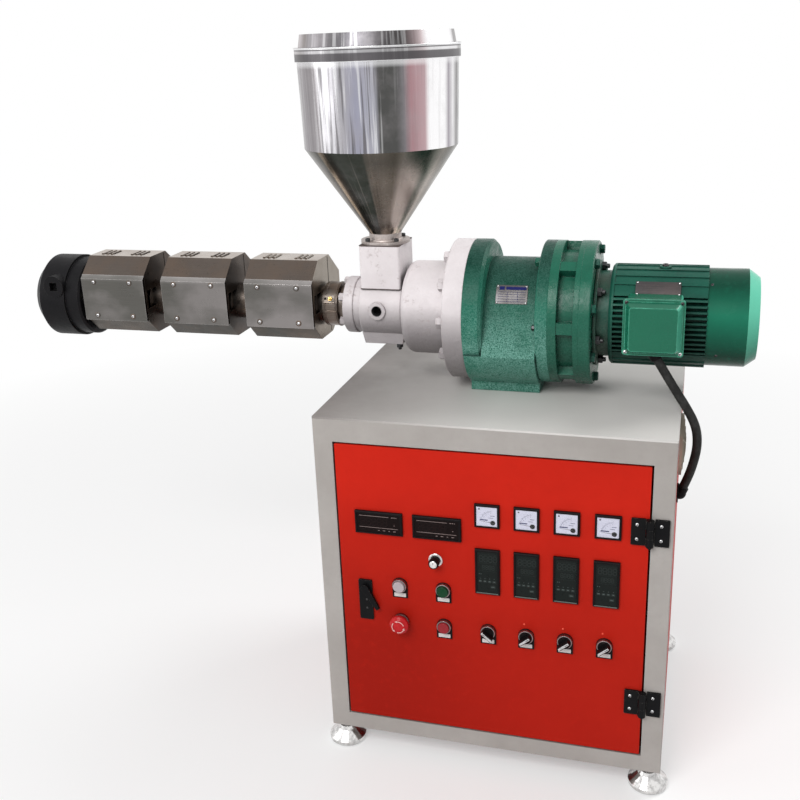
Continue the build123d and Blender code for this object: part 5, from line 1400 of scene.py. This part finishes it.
@dataclass
class Barrel:
    """Die head, barrel, heater bands and covers."""

    finishes: Finishes
    cover_length: float = 150.0
    cover_pitch: float = 193.0
    cover_top: float = 98.0
    vent_group: float = 36.0
    vent_pitch: float = 11.0
    vent_long: float = 36.0
    plate_y: float = 194.0
    screw_xs: tuple[float, float] = (30.0, 117.0)
    screw_zs: tuple[float, float] = (875.0, 949.0)
    screw_r: float = 3.5
    seam_y: float = 296.0
    seam_zs: tuple[tuple[float, float], ...] = ((932.0, 995.0), (834.0, 888.0))
    terminal_at: tuple[float, float, float] = (10.0, 226.0, 910.0)
    band_r: float = 46.0
    band_ends: tuple[float, float] = (8.0, 40.6)
    lug_x: float = 24.0
    head_circle: float = 50.0

    def build(self) -> None:
        """Dress the nodes and add the small parts."""
        f = self.finishes
        dress(f.die, "die_head")
        dress(f.steel, "barrel")
        dress(f.bands, "heater_bands")
        dress(f.covers, "heater_covers")
        dress(f.plates, "cover_plates")
        low, high = Datum.span("heater_covers")
        starts = [low.x + i * self.cover_pitch for i in range(3)]
        self.plate_screws(starts)
        self.vent_lips(starts)
        self.seams(starts)
        self.terminals(starts)
        self.clamp(high.x)
        self.head_screws()

    def plate_screws(self, starts: Sequence[float]) -> None:
        """Four pan screws with washers on each front plate."""
        f = self.finishes
        mesh = Mesh()
        for k, x0 in enumerate(starts):
            for i, dx in enumerate(self.screw_xs):
                for j, z in enumerate(self.screw_zs):
                    place = Facing.FRONT.at(x0 + dx, self.plate_y, z, 37 * (k + 2 * i + j))
                    Fastener.washer(mesh, place, 6.2, 1.0, 24, 2, (0.6, 0.3))
                    Fastener.pan_screw(mesh, shifted(place, 0, 0, 0.9), self.screw_r)
        mesh.make("plate_screws", (f.zinc, f.ink, f.steel), Body.FRAME, Slot.BARE)

    def vent_lips(self, starts: Sequence[float]) -> None:
        """Pressed lips over the slots in the covers' tops."""
        mesh = Mesh()
        arc = [(3.4 * math.cos(math.radians(a)), 2.8 * math.sin(math.radians(a))) for a in range(0, 181, 30)]
        y, z = Datum.axis_y - self.vent_long / 2, Datum.axis_z + self.cover_top - 0.4
        for x0 in starts:
            for side in (-1, 1):
                for i in (-1, 0, 1):
                    x = x0 + self.cover_length / 2 + side * self.vent_group + i * self.vent_pitch - 3.6
                    mesh.prism(arc, self.vent_long, Facing.BACK.at(x, y, z))
        mesh.make("vent_lips", (self.finishes.covers,), Body.FRAME, Slot.STAINLESS)

    def seams(self, starts: Sequence[float]) -> None:
        """Lapped joints between the halves of each cover's ends."""
        mesh = Mesh()
        for x0 in starts:
            for face, x in ((Facing.RIGHT, x0 + self.cover_length), (Facing.LEFT, x0)):
                for z0, z1 in self.seam_zs:
                    z, long = (z0 + z1) / 2, z1 - z0
                    mesh.bar((1.3, long), 0.3, face.at(x, self.seam_y, z))
                    mesh.bar((7.0, long, 0.4), 0.22, face.at(x, self.seam_y + 4.6, z), 0, 1)
        mesh.make("cover_seams", (self.finishes.hole, self.finishes.covers), Body.FRAME)

    def terminals(self, starts: Sequence[float]) -> None:
        """Ceramic blocks with brass studs in the covers' left end openings."""
        f = self.finishes
        mesh = Mesh()
        inside, y, z = self.terminal_at
        for x0 in starts:
            base = Facing.LEFT.at(x0 + inside, y, z)
            mesh.bar((26, 24, 2), 12, base, 1.2)
            for across in (-7.5, 7.5):
                stud = shifted(base, across, 0, 12)
                Fastener.stud(mesh, stud, 8.0, 3.5, 9.0, 1)
                Fastener.washer(mesh, stud, 5.4, 0.8, 18, 2)
        mesh.make("heater_terminals", (f.ceramic, f.brass, f.zinc), Body.FRAME)

    def clamp(self, x0: float) -> None:
        """Bright clamp band between the last cover and the feed housing, with its brass screw and sensor."""
        f = self.finishes
        mesh = Mesh()
        axis = Facing.RIGHT.at(x0, Datum.axis_y, Datum.axis_z)
        r, (start, end) = self.band_r, self.band_ends
        mesh.turned([(38.2, start), (r - 0.5, start), (r, start + 0.6), (r, end - 0.6), (r - 0.5, end), (38.2, end)],
                    axis, 64)
        for x in (13, 35.5):
            mesh.turned([(r, x), (r + 1.2, x + 0.8), (r + 1.2, x + 2.4), (r, x + 3.2)], axis, 64)
        lug = radial(x0 + self.lug_x, 24, 45.0)
        mesh.bar((24, 17, 1.5), 3.0, lug, 0.6)
        mesh.turned([(6.0, 3), (6.0, 5), (4.4, 5.4), (4.4, 8.5), (0, 8.5)], shifted(lug, 5, 0), 20, 2)
        Fastener.stud(mesh, shifted(lug, 5, 0, 8.2), 9.0, 4.6, 10.0, 1)
        # Dark disc for a small hole in the lug: painted shade.
        mesh.turned([(2.6, 3), (2.6, 3.15), (0, 3.15)], shifted(lug, -8, 1), 16, 3)
        mesh.bar((30, 5, 1), 3.2, radial(x0 + self.lug_x, -8, 45.0), 0.6)
        mesh.make("barrel_clamp", (f.bands, f.brass, f.ceramic, f.hole), Body.FRAME, Slot.BARE)

    def head_screws(self) -> None:
        """Eight cap screws in the front of the head."""
        front = Datum.span("die_head")[0].x + 10
        mesh = Mesh()
        for i in range(8):
            Fastener.socket_screw(mesh, on_circle(front, 22.5 + 45 * i, self.head_circle, Facing.LEFT), 6.5, 4.5)
        mesh.make("head_screws", (self.finishes.black_oxide, self.finishes.hole), Body.FRAME, Slot.BLACK_STEEL)


@dataclass
class Feed:
    """Feed housing, throat block and hopper."""

    finishes: Finishes
    collar_bolt_r: float = 50.0
    collar_bolt: tuple[float, float] = (15.0, 10.5)
    drain: tuple[float, float] = (109.0, 244.0)
    seam_z: float = 946.0
    port: tuple[float, float, float] = (74.0, 204.0, 904.0)
    thread_r: tuple[float, float] = (10.35, 9.5)
    thread_pitch: float = 2.4
    flange_bolt_r: float = 42.0

    def build(self) -> None:
        """Dress the nodes and add the small parts."""
        f = self.finishes
        dress(f.white, "feed_housing")
        dress(f.white_block, "throat_block")
        dress(f.flange, "hopper_flange")
        dress(f.cone, "hopper_cone")
        dress(f.hopper, "hopper_shell")
        dress(f.lid, "hopper_lid")
        self.bolts()
        self.joint()
        self.port_thread()
        self.hopper_bolts()

    def bolts(self) -> None:
        """Painted bolts on the collar and the dark bolt under the housing."""
        low = Datum.span("feed_housing")[0]
        mesh = Mesh()
        for i in range(6):
            place = on_circle(low.x + 0.3, 30 + 60 * i, self.collar_bolt_r, Facing.LEFT)
            Fastener.hex_bolt(mesh, place, *self.collar_bolt)
        mesh.make("collar_bolts", (self.finishes.white,), Body.FRAME, Slot.WHITE)
        under = Mesh()
        Fastener.hex_bolt(under, Facing.DOWN.at(*self.drain, low.z + 0.5, 10), 13.0, 11.0)
        under.turned([(3.6, 10), (3.6, 14), (3.0, 15), (0, 15)], Facing.DOWN.at(*self.drain, low.z), 16)
        under.make("housing_bolt", (self.finishes.black_oxide,), Body.FRAME, Slot.BLACK_STEEL)

    def joint(self) -> None:
        """Dark gaskets under and over the throat block."""
        low, high = Datum.span("throat_block")
        x, y = (low.x + high.x) / 2, (low.y + high.y) / 2
        mesh = Mesh()
        for margin, thick, z in ((1.2, 1.5, self.seam_z - 0.9), (0.8, 1.2, high.z - 1.0)):
            mesh.bar((high.x - low.x + margin, high.y - low.y + margin, 5.5), thick, Facing.UP.at(x, y, z))
        mesh.make("throat_gaskets", (self.finishes.gasket,), Body.FRAME)

    def port_thread(self) -> None:
        """Dark threaded bush in the housing's front port."""
        crest, root = self.thread_r
        mesh = Mesh()
        rows = []
        for i in range(9):
            rows += [(crest, self.thread_pitch * (0.5 - i)), (root, -self.thread_pitch * i)]
        mesh.turned(rows, Facing.FRONT.at(*self.port), 32)
        # Dark disc at the bottom of the bore: painted shade of its depth.
        mesh.turned([(10.3, -21.5), (0, -21.5)], Facing.FRONT.at(*self.port), 32, 1)
        mesh.make("port_thread", (self.finishes.black_oxide, self.finishes.hole), Body.FRAME)

    def hopper_bolts(self) -> None:
        """Four black cap screws on the hopper's flange, and the weld bead round its neck."""
        f = self.finishes
        low, high = Datum.span("hopper_flange")
        x, y = (low.x + high.x) / 2, (low.y + high.y) / 2
        mesh = Mesh()
        for i in range(4):
            a = math.radians(-42 + 90 * i)
            across, deep = self.flange_bolt_r * math.cos(a), self.flange_bolt_r * math.sin(a)
            Fastener.socket_screw(mesh, Facing.UP.at(x + across, y + deep, low.z + 5.8, 20 * i), 5.0, 6.0)
        mesh.make("hopper_bolts", (f.black_oxide, f.hole), Body.FRAME, Slot.BLACK_STEEL)
        bead = Mesh()
        bead.turned([(33.0, -14.6), (35.2, -14.0), (34.6, -12.4), (33.0, -11.4)], Facing.UP.at(x, y, high.z), 48)
        bead.make("neck_weld", (f.flange,), Body.FRAME, Slot.STAINLESS)


@dataclass
class Gearbox:
    """Bearing housing, reducer and its rings."""

    finishes: Finishes
    white_x: float = 226.0
    white_bolt_r: float = 118.0
    ring_x: float = 406.0
    ring_bolt_r: float = 123.0
    ring_bolt_angles: tuple[float, ...] = (64.0, 124.0, 184.0, 244.0, 304.0)
    plug_r: float = 117.0
    plug_angles: tuple[float, ...] = (-1.5, -10.0)
    end_bolt_r: float = 125.0
    plate: RuledPlate = RuledPlate((325.0, 386.0), (20.5, 40.5), 107.0, (2.2, 2.5, 0.28), (22.0, 42.0, 12.3),
                                   (2.6, 1.3), ((344.0, 383.0, 5.2, 2.0), (331.0, 341.0, 5.4, 1.8)))

    def build(self) -> None:
        """Dress the nodes and add the small parts."""
        f = self.finishes
        dress(f.white, "bearing_housing")
        dress(f.green_foot, "reducer_casing")
        dress(f.green, "pin_gear_ring", "end_flange")
        self.white_bolts()
        self.ring_bolts()
        self.end_bolts()
        self.nameplate()

    def white_bolts(self) -> None:
        """Ten painted bolts on the bearing housing's flange."""
        mesh = Mesh()
        for i in range(10):
            place = on_circle(self.white_x + 0.5, 36 * i, self.white_bolt_r, Facing.LEFT)
            Fastener.hex_bolt(mesh, place, 22.0, 15.0)
            Fastener.washer(mesh, place, 14.0, 2.4, 28, 0, (0.6, 0.6))
        mesh.make("housing_flange_bolts", (self.finishes.white,), Body.FRAME, Slot.WHITE)

    def ring_bolts(self) -> None:
        """Painted hex bolts and two small dark plugs on the casing's rear flange."""
        mesh = Mesh()
        x = self.ring_x + 0.3
        for angle in self.ring_bolt_angles:
            Fastener.hex_bolt(mesh, on_circle(x, angle, self.ring_bolt_r, Facing.LEFT), 17.0, 11.0)
        for angle in self.plug_angles:
            Fastener.hex_bolt(mesh, on_circle(x, angle, self.plug_r, Facing.LEFT), 9.0, 9.0, 1)
        mesh.make("casing_flange_bolts", (self.finishes.green, self.finishes.black_oxide), Body.FRAME, Slot.GREEN)

    def end_bolts(self) -> None:
        """Eight bolts on the end flange's motor side."""
        back = Datum.span("end_flange")[1].x
        mesh = Mesh()
        for i in range(8):
            place = on_circle(back - 0.3, 17 + 45 * i, self.end_bolt_r, Facing.RIGHT)
            Fastener.hex_bolt(mesh, place, 17.0, 9.0)
            Fastener.washer(mesh, place, 10.5, 1.5, 24)
        mesh.make("end_flange_bolts", (self.finishes.green_dark,), Body.FRAME, Slot.GREEN)

    def nameplate(self) -> None:
        """Blank metal plate on the casing."""
        f = self.finishes
        mesh = Mesh()
        self.plate.draw(mesh)
        mesh.make("reducer_nameplate", (f.label, f.blue_ink, f.zinc), Body.FRAME)


@dataclass
class Motor:
    """Motor with its terminal box, cowl and cable."""

    finishes: Finishes
    radius: float = 98.0
    plate: RuledPlate = RuledPlate((585.0, 667.0), (35.5, 53.0), 98.0, (2.0, 2.6, 0.3), (26.0, 54.0, 12.6), (2.8, 1.5))
    lid_screw_in: float = 6.0
    lid_screw_r: float = 3.6
    cowl_screw_r: float = 3.0
    cowl_screw_xs: tuple[float, ...] = (736.0, 722.0, 736.0, 736.0)
    cowl_r: float = 92.9
    plug: tuple[float, float] = (636.0, 84.0)
    adaptor_circle: float = 92.0
    cable_d: float = 0.017
    cable_y: float = 150.0
    cable_order: int = 3
    corner: tuple[float, float] = (680.0, 748.0)
    route: tuple[tuple[float, float], ...] = ((-49.0, 101.0), (-19.0, 51.0), (12.0, 4.0), (29.0, -30.0),
                                              (33.0, -66.0), (27.0, -104.0), (18.0, -136.0), (11.0, -153.0))

    def build(self) -> None:
        """Dress the nodes and add the small parts."""
        f = self.finishes
        dress(f.grimy, "motor_adaptor")
        dress(f.green_dark, "motor_body")
        dress(f.cowl, "fan_cowl")
        dress(f.green_sheet, "terminal_lid", "terminal_box")
        dress(f.dark, "cable_glands")
        self.nameplate()
        self.lid_screws()
        self.cowl_screws()
        self.adaptor_bolts()
        self.cable()

    def nameplate(self) -> None:
        """Blank dull plate on the motor's smooth upper front."""
        f = self.finishes
        mesh = Mesh()
        self.plate.draw(mesh)
        mesh.make("motor_nameplate", (f.old_label, f.gasket, f.zinc), Body.FRAME)

    def lid_screws(self) -> None:
        """Screws in the corners of the terminal box's lid; the upper two are dull."""
        f = self.finishes
        low, high = Datum.span("terminal_lid")
        mesh = Mesh()
        for x in (low.x + self.lid_screw_in, high.x - self.lid_screw_in):
            for z, slot in ((low.z + self.lid_screw_in, 0), (high.z - self.lid_screw_in, 3)):
                place = Facing.FRONT.at(x, high.y - 4.6, z, 3 * x)
                Fastener.washer(mesh, place, 5.6, 1.3, 24, 2, (0.6, 0.3))
                Fastener.pan_screw(mesh, shifted(place, 0, 0, 1.2), self.lid_screw_r, slot)
        mesh.make("terminal_lid_screws", (f.zinc, f.ink, f.green_sheet, f.label), Body.FRAME, Slot.BARE)

    def cowl_screws(self) -> None:
        """Screws that hold the cowl, and the plugged lifting hole on top of the motor."""
        f = self.finishes
        mesh = Mesh()
        for i, x in enumerate(self.cowl_screw_xs):
            Fastener.pan_screw(mesh, radial(x, -36 + 90 * i, self.cowl_r), self.cowl_screw_r)
        place = radial(*self.plug, self.radius - 1)
        mesh.turned([(11, 0), (10.5, 2.4), (9.5, 3.0), (0, 3.0)], place, 28, 2)
        mesh.turned([(6.4, 3.0), (6.4, 5.2), (5.8, 5.8), (3.4, 5.8), (3.2, 4.0), (0, 4.0)], place, 24)
        mesh.make("cowl_screws", (f.label, f.ink, f.green_dark), Body.FRAME, Slot.BARE)

    def adaptor_bolts(self) -> None:
        """Dark bolts between the motor and its adaptor, and the ring that they stand on."""
        start = Datum.span("motor_adaptor")[0].x
        mesh = Mesh()
        for i in range(6):
            place = on_circle(start + 6.0, -20 + 60 * i, self.adaptor_circle, Facing.RIGHT)
            Fastener.stud(mesh, place, 15.0, 9.0, 15.0)
        mesh.turned([(84, 0.4), (102, 0.4), (103, 1.4), (103, 5.4), (102, 6.4), (84, 6.4)],
                    Facing.RIGHT.at(start, Datum.axis_y, Datum.axis_z), 72, 1)
        mesh.make("adaptor_bolts", (self.finishes.black_oxide, self.finishes.grimy), Body.FRAME, Slot.BLACK_STEEL)

    def cable(self) -> None:
        """Black sheathed cable from the terminal box down to the gland in the cabinet's side."""
        points = [Datum.place(self.corner[0] + x, self.cable_y, self.corner[1] + z) for x, z in self.route]
        data = bpy.data.curves.new("motor_cable_line", "CURVE")
        data.dimensions = "3D"
        data.resolution_u = 12
        data.bevel_depth = self.cable_d / 2
        data.bevel_resolution = 6
        spline = data.splines.new("NURBS")
        spline.points.add(len(points) - 1)
        for point, at in zip(spline.points, points):
            point.co = (*at, 1.0)
        spline.order_u = self.cable_order
        spline.use_endpoint_u = True
        data.materials.append(self.finishes.rubber)
        piece = placed("motor_lead", data)
        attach(piece, Body.FRAME.value)
        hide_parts("motor_cable")


@dataclass(frozen=True)
class Lamp:
    """Soft square lamp aimed at a point; places and size in metres, power in watts."""

    name: str
    at: tuple[float, float, float]
    aim: tuple[float, float, float]
    size: float
    watts: float

    def hang(self) -> None:
        """Add the lamp to the scene."""
        data = bpy.data.lights.new(self.name, "AREA")
        data.shape = "SQUARE"
        data.size = self.size
        data.energy = self.watts
        lamp = placed(self.name, data)
        lamp.location = self.at
        lamp.rotation_euler = (Vector(self.aim) - Vector(self.at)).to_track_quat("-Z", "Y").to_euler()


@dataclass
class Studio:
    """Camera, floor, lamps and world."""

    focal: float = 1009.0974
    centre: tuple[float, float] = (405.2313, 389.9099)
    image: float = 800.0
    eye: tuple[float, float, float] = (692.284, -1680.886, 1423.619)
    quaternion: tuple[float, float, float, float] = (0.80860591, 0.57153844, 0.09502017, 0.10233010)
    ambient: float = 0.40
    floor_half: float = 9.0
    lamps: tuple[Lamp, ...] = (Lamp("key", (-0.5, -2.8, 3.0), (0.0, 0.0, 0.9), 1.8, 84),
                               Lamp("fill", (-3.0, -1.4, 1.8), (0.0, 0.0, 0.9), 2.2, 18),
                               Lamp("back", (1.9, 1.3, 3.0), (0.2, 0.0, 0.8), 1.4, 46))

    def build(self) -> None:
        """Set up everything around the machine."""
        self.camera()
        self.floor()
        self.world()
        for lamp in self.lamps:
            lamp.hang()
        bpy.context.scene.view_settings.view_transform = "Standard"

    def camera(self) -> None:
        """Camera at the photograph's place, with its focal length and small shift."""
        data = bpy.data.cameras.new("camera")
        data.sensor_width = 36.0
        data.lens = self.focal / self.image * data.sensor_width
        data.shift_x = (self.image / 2 - self.centre[0]) / self.image
        data.shift_y = (self.centre[1] - self.image / 2) / self.image
        data.clip_end = 60.0
        camera = placed("camera", data)
        camera.rotation_mode = "QUATERNION"
        camera.rotation_quaternion = self.quaternion
        camera.location = Datum.place(*self.eye)
        bpy.context.scene.camera = camera

    def floor(self) -> None:
        """Pale floor that fades to white away from the machine and keeps its shadow."""
        r = Recipe("pale_floor", (0.93, 0.93, 0.93), 0.6)
        reach = r.node("ShaderNodeVectorMath", {0: r.where}, operation="LENGTH").outputs["Value"]
        far = r.band(reach, 0.7, 3.0, 0.35, 1.0)
        path = r.node("ShaderNodeLightPath")
        glow = r.node("ShaderNodeEmission", {"Color": (1.0, 1.0, 1.0), "Strength": 1.0})
        seen = r.times(far, r.sum("MAXIMUM", path.outputs["Is Camera Ray"], path.outputs["Is Glossy Ray"]))
        mix = r.node("ShaderNodeMixShader", {0: seen})
        r.tree.links.new(r.skin.outputs[0], mix.inputs[1])
        r.tree.links.new(glow.outputs[0], mix.inputs[2])
        r.tree.links.new(mix.outputs[0], r.out.inputs[0])
        mesh = bpy.data.meshes.new("floor")
        s = self.floor_half
        mesh.from_pydata([(-s, -s, 0), (s, -s, 0), (s, s, 0), (-s, s, 0)], [], [(0, 1, 2, 3)])
        mesh.materials.append(r.material)
        placed("floor", mesh)

    def world(self) -> None:
        """White all round for the eye and for reflections, softer as a light."""
        world = bpy.data.worlds.new("studio")
        world.use_nodes = True
        tree = world.node_tree
        tree.nodes.clear()
        out = tree.nodes.new("ShaderNodeOutputWorld")
        back = tree.nodes.new("ShaderNodeBackground")
        path = tree.nodes.new("ShaderNodeLightPath")
        back.inputs["Color"].default_value = (1.0, 1.0, 1.0, 1.0)
        seen = path.outputs["Is Camera Ray"]
        for key in ("Is Glossy Ray", "Is Transmission Ray"):
            top = tree.nodes.new("ShaderNodeMath")
            top.operation = "MAXIMUM"
            tree.links.new(seen, top.inputs[0])
            tree.links.new(path.outputs[key], top.inputs[1])
            seen = top.outputs[0]
        strength = tree.nodes.new("ShaderNodeMapRange")
        strength.inputs["To Min"].default_value = self.ambient
        strength.inputs["To Max"].default_value = 1.0
        tree.links.new(seen, strength.inputs["Value"])
        tree.links.new(strength.outputs[0], back.inputs["Strength"])
        tree.links.new(back.outputs[0], out.inputs[0])
        bpy.context.scene.world = world


def main() -> None:
    """Build the machine's looks and the studio in order."""
    logging.basicConfig(level=logging.INFO, format="%(message)s")
    Studio().build()
    finishes = Finishes()
    for part in (Motor(finishes), Cabinet(finishes), Panel(finishes), Barrel(finishes), Feed(finishes),
                 Gearbox(finishes)):
        part.build()
        LOG.info("%s done", type(part).__name__)


if __name__ == "__main__":
    main()
